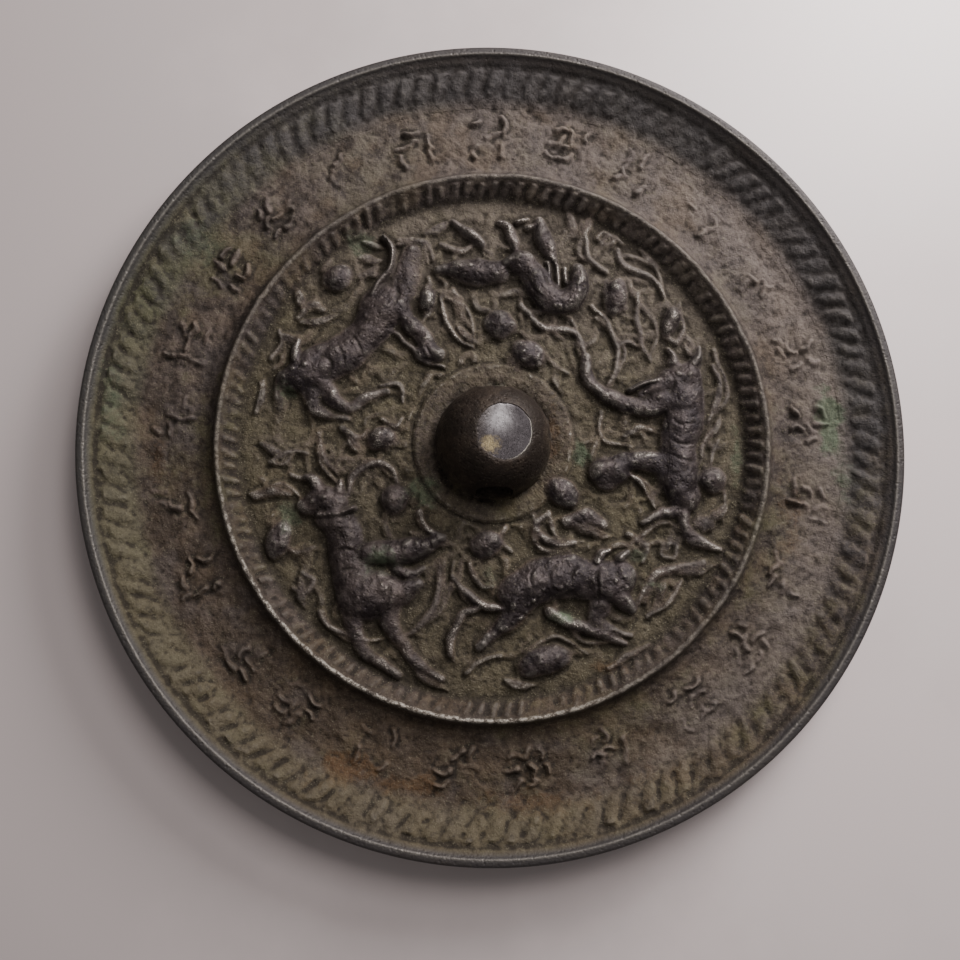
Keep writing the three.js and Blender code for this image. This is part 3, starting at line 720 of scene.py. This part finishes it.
def turned(name, section, columns):
    """A piece turned from its section of (radius, height) in millimetres, all the way round."""
    rows = np.array(section if section[0][0] == 0 else section + section[:1]) * MM
    work = bmesh.new()
    bmesh.ops.create_grid(work, x_segments=columns, y_segments=len(rows) - 1, size=1)
    mesh = meshed(name, work)
    places = corners(mesh)
    turn = np.rint((places[:, 0] + 1) / 2 * columns) / columns * 2 * math.pi
    radius, height = rows[np.rint((places[:, 1] + 1) / 2 * (len(rows) - 1)).astype(int)].T
    places = np.column_stack([radius * np.cos(turn), radius * np.sin(turn), height])
    mesh.vertices.foreach_set("co", places.ravel())
    work = bmesh.new()
    work.from_mesh(mesh)
    bmesh.ops.remove_doubles(work, verts=work.verts, dist=1e-7)
    bmesh.ops.recalc_face_normals(work, faces=work.faces)
    work.to_mesh(mesh)
    work.free()
    return placed(name, mesh)


def carve(piece, move=None):
    """Lifts the top of a turned piece to the relief and notes the masks on it."""
    board, maps = relief()
    mesh = piece.data
    places = corners(mesh) / MM
    x, y = places[:, 0], places[:, 1]
    on_relief = (places[:, 2] > 1) & (np.hypot(x, y) < RELIEF_RADIUS)
    if move:
        move(places, on_relief, board, maps)
    else:
        places[on_relief, 2] = board.read(maps["height"], x[on_relief], y[on_relief])
    mesh.vertices.foreach_set("co", (places * MM).ravel())
    for mask in MASKS:
        values = board.read(maps[mask], x, y).astype(np.float32)
        values[places[:, 2] < 1] = 0
        mesh.attributes.new(mask, "FLOAT", "POINT").data.foreach_set("value", values)
    mesh.update()


def finish_piece(piece):
    """Shades a piece, gives it the bronze and hands it to the frame."""
    piece.data.polygons.foreach_set("use_smooth", [True] * len(piece.data.polygons))
    piece.data.set_sharp_from_angle(angle=math.radians(72))
    piece.data.materials.clear()
    piece.data.materials.append(old_bronze())
    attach(piece, "root")
    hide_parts(CASTING)


class Wire:
    """A value on its way through a material. Sums on it become Math nodes."""

    def __init__(self, tree, socket=None):
        self.tree = tree
        self.socket = socket

    def node(self, kind, settings=None, inputs=None, output=0):
        """Any node: its settings first, then the values or wires of its sockets."""
        made = self.tree.nodes.new(kind)
        for name, value in (settings or {}).items():
            setattr(made, name, value)
        for name, value in (inputs or {}).items():
            if isinstance(value, Wire):
                self.tree.links.new(value.socket, made.inputs[name])
            else:
                made.inputs[name].default_value = value
        return Wire(self.tree, made.outputs[output] if made.outputs else None)

    def sum(self, operation, first, second):
        return self.node("ShaderNodeMath", {"operation": operation}, {0: first, 1: second})

    def __add__(self, other):
        return self.sum("ADD", self, other)

    def __radd__(self, other):
        return self.sum("ADD", other, self)

    def __sub__(self, other):
        return self.sum("SUBTRACT", self, other)

    def __rsub__(self, other):
        return self.sum("SUBTRACT", other, self)

    def __mul__(self, other):
        return self.sum("MULTIPLY", self, other)

    def __rmul__(self, other):
        return self.sum("MULTIPLY", other, self)

    def span(self, low, high):
        """0 below low, 1 above high and a soft step between."""
        return self.node(
            "ShaderNodeMapRange",
            {"interpolation_type": "SMOOTHSTEP", "clamp": True},
            {"Value": self, "From Min": low, "From Max": high, "To Min": 0.0, "To Max": 1.0},
        )

    def within(self, start, full, fade, end):
        """1 from full to fade and 0 outside start and end, with soft steps between."""
        return self.span(start, full) * (1 - self.span(fade, end))

    def limit(self):
        """Kept between 0 and 1."""
        return self.node("ShaderNodeClamp", None, {"Value": self, "Min": 0.0, "Max": 1.0})

    def mix(self, factor, first, second):
        """The first colour turning into the second."""
        first, second = (part if isinstance(part, Wire) else (*part, 1.0) for part in (first, second))
        return self.node("ShaderNodeMix", {"data_type": "RGBA"}, {0: factor, 6: first, 7: second}, 2)

    def coat(self, cover, colour):
        """This colour with another one over it."""
        return self.mix(cover, self, colour)

    def vector(self, operation, other=None, output=0):
        """A sum on this vector. A length and a dot product come out at output 1."""
        inputs = {0: self} if other is None else {0: self, 1: other}
        return self.node("ShaderNodeVectorMath", {"operation": operation}, inputs, output)

    def towards(self, x, y):
        """How far these places lie towards the right and the top, weighed by x and y."""
        return self.vector("DOT_PRODUCT", (x, y, 0.0), 1)

    def distance(self, x, y, z):
        """These places' distance in millimetres from a point in millimetres."""
        return self.vector("SUBTRACT", (x * MM, y * MM, z * MM)).vector("LENGTH", output=1) * (1 / MM)

    def grain(self, size, detail, roughness):
        """Noise at these places with lumps about size millimetres across."""
        return self.node(
            "ShaderNodeTexNoise", None,
            {"Vector": self, "Scale": 1 / (size * MM), "Detail": detail, "Roughness": roughness},
        )


def blank_material(name):
    """A new material without nodes, and a wire to add them by."""
    material = bpy.data.materials.new(name)
    material.use_nodes = True
    material.node_tree.nodes.clear()
    return material, Wire(material.node_tree)


@functools.cache
def old_bronze():
    """Worn bronze: brown and olive corrosion, bright where hands and tables rubbed it, with painted
    highlights and painted shade laid into its colour.
    """
    colours = bpy.context.scene.mirror_colours
    sizes = bpy.context.scene.mirror_sizes
    material, wire = blank_material("old bronze")
    places = wire.node("ShaderNodeTexCoord", output=3)
    worn, hollow, figure, verdigris, rust = (
        wire.node("ShaderNodeAttribute", {"attribute_name": mask}, output=2) for mask in MASKS
    )
    radius = places.vector("MULTIPLY", (1.0, 1.0, 0.0)).vector("LENGTH", output=1) * (1 / MM)
    height = wire.node("ShaderNodeSeparateXYZ", None, {0: places}, output=2) * (1 / MM)

    cloud = places.grain(16.0, 2.0, 0.6)
    blotch = places.grain(3.6, 4.0, 0.62)
    speck = places.grain(0.55, 3.0, 0.7)
    fleck = places.grain(0.22, 2.0, 0.6)
    grime = places.grain(0.9, 5.0, 0.8)

    # Brown skin of the casting, lighter and darker in clouds
    skin = wire.mix(blotch.span(0.35, 0.66), colours.skin_dark, colours.skin_light)
    olive = (blotch * 0.7 + cloud * 0.6 - figure * 0.5).span(0.6, 0.86)
    skin = skin.coat(olive, colours.olive)

    # The skin is paler and pinker towards the top and the right, browner towards the bottom
    side = places.towards(6.0, 15.0)
    skin = skin.coat((side + blotch - 0.5).span(0.1, 0.9) * 0.6, colours.pink)
    skin = skin.coat((0.5 - side - blotch).span(0.1, 0.9) * 0.6, colours.brown)
    patch = places.grain(7.0, 2.0, 0.6)
    skin = skin.coat(patch.span(0.5, 0.66) * 0.35, colours.warm)
    skin = skin.coat((1 - patch.span(0.34, 0.5)) * 0.35, colours.lilac)

    # The rim's slope is greener on the left
    left = places.towards(-16.0, 3.0)
    moss = (left + blotch - 0.5).span(0.3, 0.9) * (radius - sizes.slope_radius).span(-0.4, 1.6)
    skin = skin.coat(moss * 0.4, colours.moss)

    # The band is palest on the right, most of all at the foot of the slope
    right = places.towards(16.0, -2.0)
    right_band = (radius - sizes.slope_radius).within(-9.9, -1.9, 0.6, 2.6)
    right_band = right_band * (right + blotch - 0.5).span(0.2, 0.8)
    skin = skin.coat(right_band * 0.6, colours.pink)

    # Soil and olive crust lie in the field between the figures
    in_field = 1 - (radius - sizes.field_radius).span(-0.3, 1.7)
    ring = 1 - (radius - sizes.knob_ring_width / 2).span(-0.6, 0.8)
    ground = (in_field * (1 - figure) * (0.35 + speck) - ring * blotch * 0.7).span(0.3, 0.85)
    skin = skin.coat(ground * 0.75, colours.field_ground)
    upper_field = in_field * (1 - figure) * (side + patch - 0.5).span(0.1, 0.5)
    skin = skin.coat(upper_field * 0.4, colours.pink)

    # Raised figures are smooth, dark and a little purple
    smooth = (figure * in_field).span(0.3, 0.9)
    figure_skin = wire.mix(blotch.span(0.4, 0.65), colours.figure_dark, colours.figure_light)
    skin = skin.coat(smooth * (0.35 + cloud).limit(), figure_skin)

    # The rim and the knob are dark and handled
    rim = (radius - sizes.rim_radius).span(-1.15, -0.15)
    knob = 1 - (radius - sizes.knob_width / 2 + blotch * 3.0).span(0.4, 2.9)
    skin = skin.coat(rim * 0.85, colours.rim)
    skin = skin.coat(knob * 0.9, wire.mix(blotch.span(0.45, 0.65), colours.knob, colours.knob_brown))

    # Corrosion
    rusty = (rust * 0.9 + speck * 0.5 - 0.25).span(0.15, 0.7)
    skin = skin.coat(rusty * rust.span(0.0, 0.3) * 0.8, colours.rust)
    green = (verdigris * 0.9 + speck * 0.5 - 0.25).span(0.15, 0.7)
    skin = skin.coat(green * verdigris.span(0.0, 0.3) * 0.8, colours.verdigris)

    # The ridge is darker. The rim's slope is pale below and on the left, a yellowish crust with painted
    # light on its lit side, and dark above, where shade is painted
    from_crest = radius - sizes.ridge_radius
    skin = skin.coat(from_crest.within(-1.55, -0.75, 1.05, 1.75) * 0.35, colours.skin_dark)
    below = places.towards(-8.0, -15.0)
    slope = (radius - sizes.slope_radius + blotch * 1.5).span(0.4, 2.9) * (1 - rim)
    # Yellowish crust with painted light on the slope's lower, lit side
    skin = skin.coat(slope * (below + blotch - 0.5).span(0.1, 0.8) * 0.5, colours.slope_crust_and_light)
    # Painted shade: the rim's dark colour over the upper slope, which faces away from the lamps
    shaded_upper_slope = slope * (1 - (below + blotch - 0.5).span(-0.6, 0.1))
    skin = skin.coat(shaded_upper_slope * 0.8, colours.rim)

    # Dirt in the hollows, darkened further by painted shade, and pale specks on the crust
    crusty = 1 - (smooth * 0.6 + rim * 0.7 + knob * 0.7).limit()
    skin = skin.coat((1 - grime.span(0.36, 0.5)) * crusty * 0.5, colours.dirt_and_shade)
    open_foot = (radius - sizes.band_radius).within(-1.1, -0.7, 1.3, 2.3)
    cover = 0.8 - open_foot * 0.6 - in_field * 0.2 - right_band * 0.4 - shaded_upper_slope * 0.4
    # Dirt and painted shade: the hollows and creases darken, less so at the ridge's open foot, in the
    # field, on the band's right and on the shaded upper slope
    skin = skin.coat(hollow.span(0.1, 0.9) * cover, colours.dirt_and_shade)
    pale = fleck.span(0.54, 0.68) * crusty * grime.span(0.45, 0.6) * (1 - shaded_upper_slope * 0.7)
    skin = skin.coat(pale * (0.6 + in_field * 0.3), colours.pale)

    # Rubbed metal on edges and tops, with painted highlights on the ridge's crest and painted glints on the
    # figures
    rubbed = (worn * (0.45 + speck)).span(0.3, 0.95)
    crest = from_crest.within(-0.25, -0.1, 0.45, 0.65)
    # Rubbed crest of the ridge with a painted highlight, strongest below and on the left
    ridge_wear_and_highlight = crest * (below.span(0.3, 0.7) + 0.15) * grime.span(0.45, 0.55)
    # Painted glints: bright rubbed-metal specks on the figures' worn tops, in patches
    sparkle = patch.span(0.45, 0.6) * fleck.span(0.5, 0.6) * 0.7
    figure_wear_and_glints = (cloud.span(0.35, 0.6) * 0.2 + sparkle) * in_field
    rim_wear = (radius - sizes.rim_radius).span(-1.15, -0.55) * 0.25
    edge = rubbed * (figure_wear_and_glints + ridge_wear_and_highlight + rim_wear + 0.1).limit()
    facet, glint, gold = facet_masks(places, height)
    # Painted highlight on the knob's worn top, brightest near its upper side and fading to the dull colour
    facet_highlight = 1 - (places.distance(0.2, 2.2, 12.6) + blotch * 2.0 + speck - 1.5).span(0.2, 3.4)
    skin = skin.coat(edge * 0.7, colours.rubbed)
    skin = skin.coat(facet, wire.mix(facet_highlight, colours.facet_dull, colours.facet))
    skin = skin.coat(gold * 0.8, colours.gold)
    skin = skin.coat(glint, colours.rubbed)

    # The polished face, dulled with age
    face = 1 - height.span(0.05, 0.5)
    skin = skin.coat(face, wire.mix(cloud.span(0.35, 0.7), colours.face, colours.face_dull))

    metal = (
        0.1 + smooth * 0.35 + rim * 0.3 + knob * 0.3 + edge * 0.5 + facet * 0.35 + face * 0.7 - green * 0.3
    ).limit()
    rough = (
        0.62 - smooth * 0.2 - rim * 0.16 - knob * 0.16 - edge * 0.2 - facet * 0.2 - face * 0.2
        + speck * 0.16 + hollow * 0.2 + pale * 0.1
    ).limit()
    crust = 1 - (smooth * 0.75 + rim * 0.7 + knob * 0.8 + face * 0.9).limit()
    pits = wire.node(
        "ShaderNodeTexVoronoi", {"feature": "F1"},
        {"Vector": places, "Scale": 1 / (0.7 * MM), "Randomness": 1.0},
    ).span(0.0, 0.45)
    rise = speck * 0.6 * (0.25 + crust * 0.75) + fleck * 0.35 * (0.3 + crust * 0.7) + pits * 0.25
    rise = (rise + grime * crusty) * (1 + in_field * 0.5) * (1 - facet * 0.95)
    rise = rise - scratch_lines(places) * facet * speck.span(0.4, 0.6) * 0.06
    bump = wire.node("ShaderNodeBump", None, {"Strength": 0.9, "Distance": 0.24 * MM, "Height": rise})
    shader = wire.node("ShaderNodeBsdfPrincipled", None, {
        "Base Color": skin, "Metallic": metal, "Roughness": rough, "Normal": bump,
        "Specular IOR Level": 0.3,
    })
    wire.node("ShaderNodeOutputMaterial", None, {"Surface": shader})
    return material


def scratch_lines(places):
    """Fine straight scratches across the knob's worn top."""
    turned = places.node(
        "ShaderNodeMapping", {"vector_type": "POINT"},
        {"Vector": places, "Rotation": (0, 0, math.radians(35)), "Scale": (1.0, 0.06, 1.0)},
    )
    return turned.grain(0.16, 2.0, 0.5).span(0.5, 0.62)


def facet_masks(places, height):
    """The worn top of the knob, the bright line along its right edge and its golden spot."""
    sizes = bpy.context.scene.mirror_sizes
    on_knob = height.span(sizes.rim_height + 1.0, sizes.rim_height + 2.0)
    away = places.distance(1.2, 0.2, 12.4) + places.grain(1.6, 3.0, 0.6) * 0.5 - 0.25
    right = places.towards(400.0, -150.0)
    facet = (1 - away.span(3.9, 4.1)) * on_knob * (0.3 + right.span(-1.5, -0.3) * 0.7)
    glint = away.within(3.8, 3.9, 3.95, 4.08) * right.span(1.0, 2.0) * on_knob * 0.6
    spot = places.distance(-0.9, -1.7, 12.6) + places.grain(0.7, 3.0, 0.7) * 3.0
    return facet, glint, (1 - spot.span(1.6, 3.3)) * facet


def measure(name, description, default, unit="NONE"):
    """A number that a user may change."""
    return FloatProperty(name=name, description=description, default=default, unit=unit)


def tint(name, description, default):
    """A colour that a user may change."""
    return FloatVectorProperty(
        name=name, description=description, default=default, subtype="COLOR", min=0, max=1,
    )


class MirrorSizes(bpy.types.PropertyGroup):
    """Sizes of the mirror's back, in millimetres"""

    field_level: measure("Field Level", "Height of the field's ground", 3.2)
    field_radius: measure("Field Radius", "Radius of the field", 37.3)
    ridge_radius: measure("Ridge Radius", "Radius of the ridge's crest", 40.15)
    ridge_height: measure("Ridge Height", "Height of the ridge", 6.3)
    band_radius: measure("Band Radius", "Inner radius of the band", 41.7)
    band_level: measure("Band Level", "Height of the band's inner edge", 3.7)
    slope_radius: measure("Slope Radius", "Inner radius of the rim's slope", 51.9)
    rim_radius: measure("Rim Radius", "Inner radius of the rim's flat top", 58.75)
    rim_height: measure("Rim Height", "Height of the rim", 8.2)
    rim_tooth_height: measure("Rim Teeth", "Height of the rim's teeth", 0.5)
    ridge_tooth_height: measure("Ridge Teeth", "Height of the ridge's teeth", 0.6)
    knob_width: measure("Knob Width", "Diameter of the knob", 17.0)
    knob_cast_height: measure("Knob Height", "Height of the knob before its wear", 13.4)
    knob_ring_width: measure("Knob Ring", "Diameter of the ring at the knob's foot", 24.4)
    knob_ring_height: measure("Ring Height", "Height of that ring", 0.6)
    hole_width: measure("Hole Width", "Width of the cord hole", 5.4)
    hole_floor: measure("Hole Floor", "Level of the cord hole's floor", 3.85)


class MirrorColours(bpy.types.PropertyGroup):
    """Colours of the bronze and the table"""

    skin_dark: tint("Dark Skin", "Darker bronze of the band", (0.028, 0.019, 0.015))
    skin_light: tint("Light Skin", "Lighter bronze of the band", (0.084, 0.061, 0.050))
    olive: tint("Olive", "Olive corrosion", (0.058, 0.050, 0.026))
    field_ground: tint("Field Ground", "Crust between the figures", (0.082, 0.067, 0.040))
    figure_dark: tint("Dark Figures", "Darker metal of the figures", (0.021, 0.015, 0.017))
    figure_light: tint("Light Figures", "Lighter metal of the figures", (0.056, 0.043, 0.043))
    # The rim's colour also serves as painted shade on the rim's upper slope
    rim: tint("Rim", "Rim's flat top, its wall and the upper slope", (0.040, 0.036, 0.038))
    knob: tint("Knob", "Knob's dark dome", (0.018, 0.012, 0.010))
    knob_brown: tint("Brown Knob", "Browner parts of the knob's dome", (0.034, 0.023, 0.018))
    pink: tint("Pale Side", "Paler, pinkish skin towards the top and the right", (0.128, 0.102, 0.092))
    brown: tint("Brown Side", "Darker brown skin towards the bottom", (0.052, 0.034, 0.020))
    warm: tint("Warm Patches", "Orange-brown patches", (0.096, 0.064, 0.038))
    lilac: tint("Grey Patches", "Purple-grey patches", (0.070, 0.056, 0.056))
    moss: tint("Moss", "Greenish crust on the left", (0.054, 0.062, 0.032))
    # Pale Slope is yellowish crust and painted light on the rim's lit lower slope
    slope_crust_and_light: tint("Pale Slope", "Yellowish crust of the rim's slope below", (0.112, 0.092, 0.056))
    rust: tint("Rust", "Orange-brown corrosion", (0.080, 0.040, 0.015))
    verdigris: tint("Verdigris", "Green corrosion", (0.066, 0.088, 0.052))
    # Dirt also serves as painted shade in the hollows and creases
    dirt_and_shade: tint("Dirt", "Dirt in the hollows", (0.014, 0.010, 0.008))
    pale: tint("Pale Specks", "Pale specks of the crust", (0.170, 0.150, 0.105))
    # Rubbed Metal also paints the highlight on the ridge's crest, the glints on the figures and the glint
    # on the knob's edge
    rubbed: tint("Rubbed Metal", "Metal rubbed bare on edges", (0.420, 0.380, 0.335))
    # The bright Facet colour is bare metal with a painted highlight, and Dull Facet is the rest of the worn
    # top
    facet: tint("Facet", "Knob's worn top", (0.190, 0.176, 0.180))
    facet_dull: tint("Dull Facet", "Darker parts of the knob's worn top", (0.034, 0.029, 0.031))
    gold: tint("Golden Spot", "Bare metal on the knob's worn top", (0.185, 0.144, 0.078))
    face: tint("Polished Face", "Polished face underneath", (0.260, 0.235, 0.185))
    face_dull: tint("Dulled Face", "Tarnish on the polished face", (0.090, 0.080, 0.055))
    table: tint("Table", "Pale table", (0.590, 0.508, 0.505))


class MirrorStage(bpy.types.PropertyGroup):
    """Camera and light"""

    lens: measure("Lens", "Focal length", 37.5, "CAMERA")
    azimuth: measure("Azimuth", "Camera's bearing from the front in degrees", -15.2)
    elevation: measure("Elevation", "Camera's height above the table in degrees", 80.8)
    distance: measure("Distance", "Camera's distance from the mirror", 0.1524, "LENGTH")
    key_power: measure("Key Lamp", "Power of the lamp at the upper right", 0.85, "POWER")
    low_power: measure("Low Lamp", "Power of the raking lamp", 1.05, "POWER")
    fill_power: measure("Fill", "Strength of the room's light", 0.22)
    seed: IntProperty(name="Seed", description="Seed of the table's clouds", default=4)


class MIRROR_OT_rim(bpy.types.Operator):
    """Makes the raised rim with its toothed slope"""

    bl_idname = "bronze_mirror.rim"
    bl_label = "Rim"

    def execute(self, context):
        sizes = context.scene.mirror_sizes
        edge = sizes.rim_radius
        section = [(DISC_RADIUS - LOWER_EDGE, 0), (sizes.slope_radius, 0)]
        section += blank_rows(sizes.slope_radius, RELIEF_RADIUS - 0.01, ROW_PITCH)
        radii, levels = back_section(sizes)
        section += [(radius, np.interp(radius, radii, levels)) for radius in (edge - 0.15, edge - 0.03)]
        section += [(edge + 0.1, sizes.rim_height - 0.02), (edge + 0.45, sizes.rim_height)]
        for step in range(RIM_STEPS + 1):
            turn = step / RIM_STEPS * math.pi / 2
            section.append((
                DISC_RADIUS - RIM_ROUNDING * (1 - math.sin(turn)),
                sizes.rim_height - RIM_ROUNDING * (1 - math.cos(turn)),
            ))
        section += [(DISC_RADIUS, level) for level in WALL_LEVELS]
        rim = turned("mirror_rim", section, RIM_COLUMNS)
        carve(rim)
        finish_piece(rim)
        return {"FINISHED"}


class MIRROR_OT_band(bpy.types.Operator):
    """Makes the band with its worn marks"""

    bl_idname = "bronze_mirror.band"
    bl_label = "Band of Marks"

    def execute(self, context):
        sizes = context.scene.mirror_sizes
        ring_piece("mirror_band", sizes.band_radius, sizes.slope_radius, ROW_PITCH, BAND_COLUMNS)
        return {"FINISHED"}


class MIRROR_OT_field(bpy.types.Operator):
    """Makes the toothed ridge and the field of beasts in two rings"""

    bl_idname = "bronze_mirror.field"
    bl_label = "Ridge and Field"

    def execute(self, context):
        sizes = context.scene.mirror_sizes
        ring = sizes.knob_ring_width / 2
        ring_piece("mirror_outer_field", FIELD_PARTING, sizes.band_radius, OUTER_FIELD_PITCH, FIELD_COLUMNS)
        ring_piece("mirror_inner_field", ring, FIELD_PARTING, INNER_FIELD_PITCH, FIELD_COLUMNS)
        return {"FINISHED"}


def ring_piece(name, inner, outer, pitch, columns):
    """A closed ring of the casting between two radii, from the polished face to the relief."""
    ring = turned(name, [(outer, 0), (inner, 0)] + blank_rows(inner, outer, pitch), columns)
    carve(ring)
    finish_piece(ring)


class MIRROR_OT_knob(bpy.types.Operator):
    """Makes the domed knob with its ring, worn top and cord hole"""

    bl_idname = "bronze_mirror.knob"
    bl_label = "Knob"

    def execute(self, context):
        sizes = context.scene.mirror_sizes
        ring = sizes.knob_ring_width / 2
        foot = sizes.knob_width / 2
        section = [(0, 0), (ring, 0)] + blank_rows(foot + 0.2, ring, ROW_PITCH)[::-1]
        base = sizes.field_level + sizes.knob_ring_height
        rise = sizes.knob_cast_height - base
        for step in range(DOME_STEPS + 1):
            lift = step / DOME_STEPS * math.pi / 2
            section.append((foot * math.cos(lift) ** 0.8, base + rise * math.sin(lift)))
        section[-1] = (0, sizes.knob_cast_height)
        knob = turned("mirror_knob", section, KNOB_COLUMNS)
        carve(knob, wear_knob)
        bore(knob)
        finish_piece(knob)
        return {"FINISHED"}


def wear_knob(places, on_relief, board, maps):
    """The ring follows the relief, the dome keeps its height but is worn to a tilted facet."""
    sizes = bpy.context.scene.mirror_sizes
    radius = np.hypot(places[:, 0], places[:, 1])
    ring = on_relief & (radius > sizes.knob_width / 2 + 0.1)
    places[ring, 2] = board.read(maps["height"], places[ring, 0], places[ring, 1])
    dome = on_relief & ~ring
    x, y, z = places[dome].T
    facet = sizes.knob_cast_height - FACET_WEAR - math.tan(math.radians(FACET_TILT)) * x
    uneven = lumps(x, y, KNOB_WEAR)
    places[dome, 2] = -merged(-(z + uneven * 1.5), -(facet + 0.3 * uneven), 0.14)


def bore(knob):
    """Cuts the cord hole: a flat floor with an arched roof, along Y."""
    sizes = bpy.context.scene.mirror_sizes
    half = sizes.hole_width / 2 * MM
    middle = sizes.hole_floor * MM + half
    work = bmesh.new()
    bmesh.ops.create_cube(work, size=1)
    bmesh.ops.scale(work, vec=(2 * half, 2 * sizes.knob_ring_width * MM, 2 * half), verts=work.verts)
    bmesh.ops.translate(work, vec=(0, 0, middle), verts=work.verts)
    roof = [
        edge for edge in work.edges
        if min(corner.co.z for corner in edge.verts) > middle
        and abs(edge.verts[0].co.y - edge.verts[1].co.y) > MM
    ]
    bmesh.ops.bevel(
        work, geom=roof, offset=half * 0.98, offset_type="OFFSET", affect="EDGES",
        segments=14, profile=0.5, material=-1, clamp_overlap=True,
    )
    cutter = placed("cord hole", meshed("cord hole", work))
    cut = knob.modifiers.new("cord hole", "BOOLEAN")
    cut.object = cutter
    cut.operation = "DIFFERENCE"
    cut.solver = "EXACT"
    bpy.context.view_layer.update()
    graph = bpy.context.evaluated_depsgraph_get()
    bored = bpy.data.meshes.new_from_object(knob.evaluated_get(graph))
    knob.modifiers.clear()
    knob.data = bored
    bpy.data.objects.remove(cutter)


class MIRROR_OT_stage(bpy.types.Operator):
    """Makes the pale table, the lamps and the camera"""

    bl_idname = "bronze_mirror.stage"
    bl_label = "Stage"

    def execute(self, context):
        stage = context.scene.mirror_stage
        lay_table(stage)
        hang_lamp("key lamp", *KEY_LAMP, stage.key_power)
        hang_lamp("low lamp", *LOW_LAMP, stage.low_power)
        room = bpy.data.worlds.new("room")
        context.scene.world = room
        room.use_nodes = True
        backdrop = room.node_tree.nodes["Background"]
        backdrop.inputs["Color"].default_value = ROOM_COLOUR
        backdrop.inputs["Strength"].default_value = stage.fill_power
        set_camera(stage)
        return {"FINISHED"}


def set_camera(stage):
    """The camera that looks down on the mirror, with +Y up in its picture."""
    turn, tilt = math.radians(stage.azimuth), math.radians(stage.elevation)
    place = stage.distance * Vector((
        math.sin(turn) * math.cos(tilt), -math.cos(turn) * math.cos(tilt), math.sin(tilt),
    ))
    data = bpy.data.cameras.new("camera")
    data.lens = stage.lens
    data.sensor_width = 36
    data.clip_start = 0.005
    camera = placed("camera", data)
    back = (place - AIM).normalized()
    side = Vector((0, 1, 0)).cross(back).normalized()
    up = back.cross(side)
    camera.matrix_world = Matrix.Translation(place) @ Matrix((side, up, back)).transposed().to_4x4()
    bpy.context.scene.camera = camera


def hang_lamp(name, direction, distance, width, power):
    """A soft square lamp that faces the mirror."""
    data = bpy.data.lights.new(name, "AREA")
    data.shape = "SQUARE"
    data.size = width
    data.energy = power
    data.color = LAMP_COLOUR
    lamp = placed(name, data)
    lamp.location = direction.normalized() * distance
    lamp.rotation_mode = "QUATERNION"
    lamp.rotation_quaternion = direction.to_track_quat("Z", "Y")


def lay_table(stage):
    """The pale table that the mirror lies on."""
    work = bmesh.new()
    bmesh.ops.create_grid(work, x_segments=1, y_segments=1, size=TABLE_REACH)
    table = placed("table", meshed("table", work))
    table.data.materials.append(pale_table(stage))


def pale_table(stage):
    """Pale grey laminate with faint clouds, painted shade darkening it towards the left, and a soft sheen.
    """
    colour = bpy.context.scene.mirror_colours.table
    material, wire = blank_material("pale table")
    places = wire.node("ShaderNodeTexCoord", output=3)
    cloud = wire.node(
        "ShaderNodeTexNoise", {"noise_dimensions": "4D"},
        {"Vector": places, "W": float(stage.seed), "Scale": 22.0, "Detail": 5.0, "Roughness": 0.6},
    )
    # Painted shade: a darker copy of the table's colour towards the left
    darker = tuple(0.8 * part for part in colour)
    skin = wire.mix((cloud + places.towards(4.2, 0.0)).span(0.3, 0.75), darker, colour)
    rough = 0.36 + cloud * 0.1
    shader = wire.node("ShaderNodeBsdfPrincipled", None, {"Base Color": skin, "Roughness": rough})
    wire.node("ShaderNodeOutputMaterial", None, {"Surface": shader})
    return material


class MIRROR_PT_panel(bpy.types.Panel):
    """Lists the mirror's pieces in the sidebar"""

    bl_idname = "MIRROR_PT_panel"
    bl_label = "Bronze Mirror"
    bl_space_type = "VIEW_3D"
    bl_region_type = "UI"
    bl_category = "Bronze Mirror"

    def draw(self, context):
        layout = self.layout
        for operator in OPERATORS:
            layout.operator(operator.bl_idname)
        for group in ("mirror_sizes", "mirror_colours", "mirror_stage"):
            values = getattr(context.scene, group)
            box = layout.box()
            for name in values.__annotations__:
                box.prop(values, name)


OPERATORS = (MIRROR_OT_rim, MIRROR_OT_band, MIRROR_OT_field, MIRROR_OT_knob, MIRROR_OT_stage)
CLASSES = (MirrorSizes, MirrorColours, MirrorStage, *OPERATORS, MIRROR_PT_panel)


def register():
    for item in CLASSES:
        bpy.utils.register_class(item)
    bpy.types.Scene.mirror_sizes = PointerProperty(type=MirrorSizes)
    bpy.types.Scene.mirror_colours = PointerProperty(type=MirrorColours)
    bpy.types.Scene.mirror_stage = PointerProperty(type=MirrorStage)


def unregister():
    del bpy.types.Scene.mirror_stage
    del bpy.types.Scene.mirror_colours
    del bpy.types.Scene.mirror_sizes
    for item in reversed(CLASSES):
        bpy.utils.unregister_class(item)


def main():
    register()
    bpy.ops.bronze_mirror.rim()
    bpy.ops.bronze_mirror.band()
    bpy.ops.bronze_mirror.field()
    bpy.ops.bronze_mirror.knob()
    bpy.ops.bronze_mirror.stage()


if __name__ == "__main__":
    main()
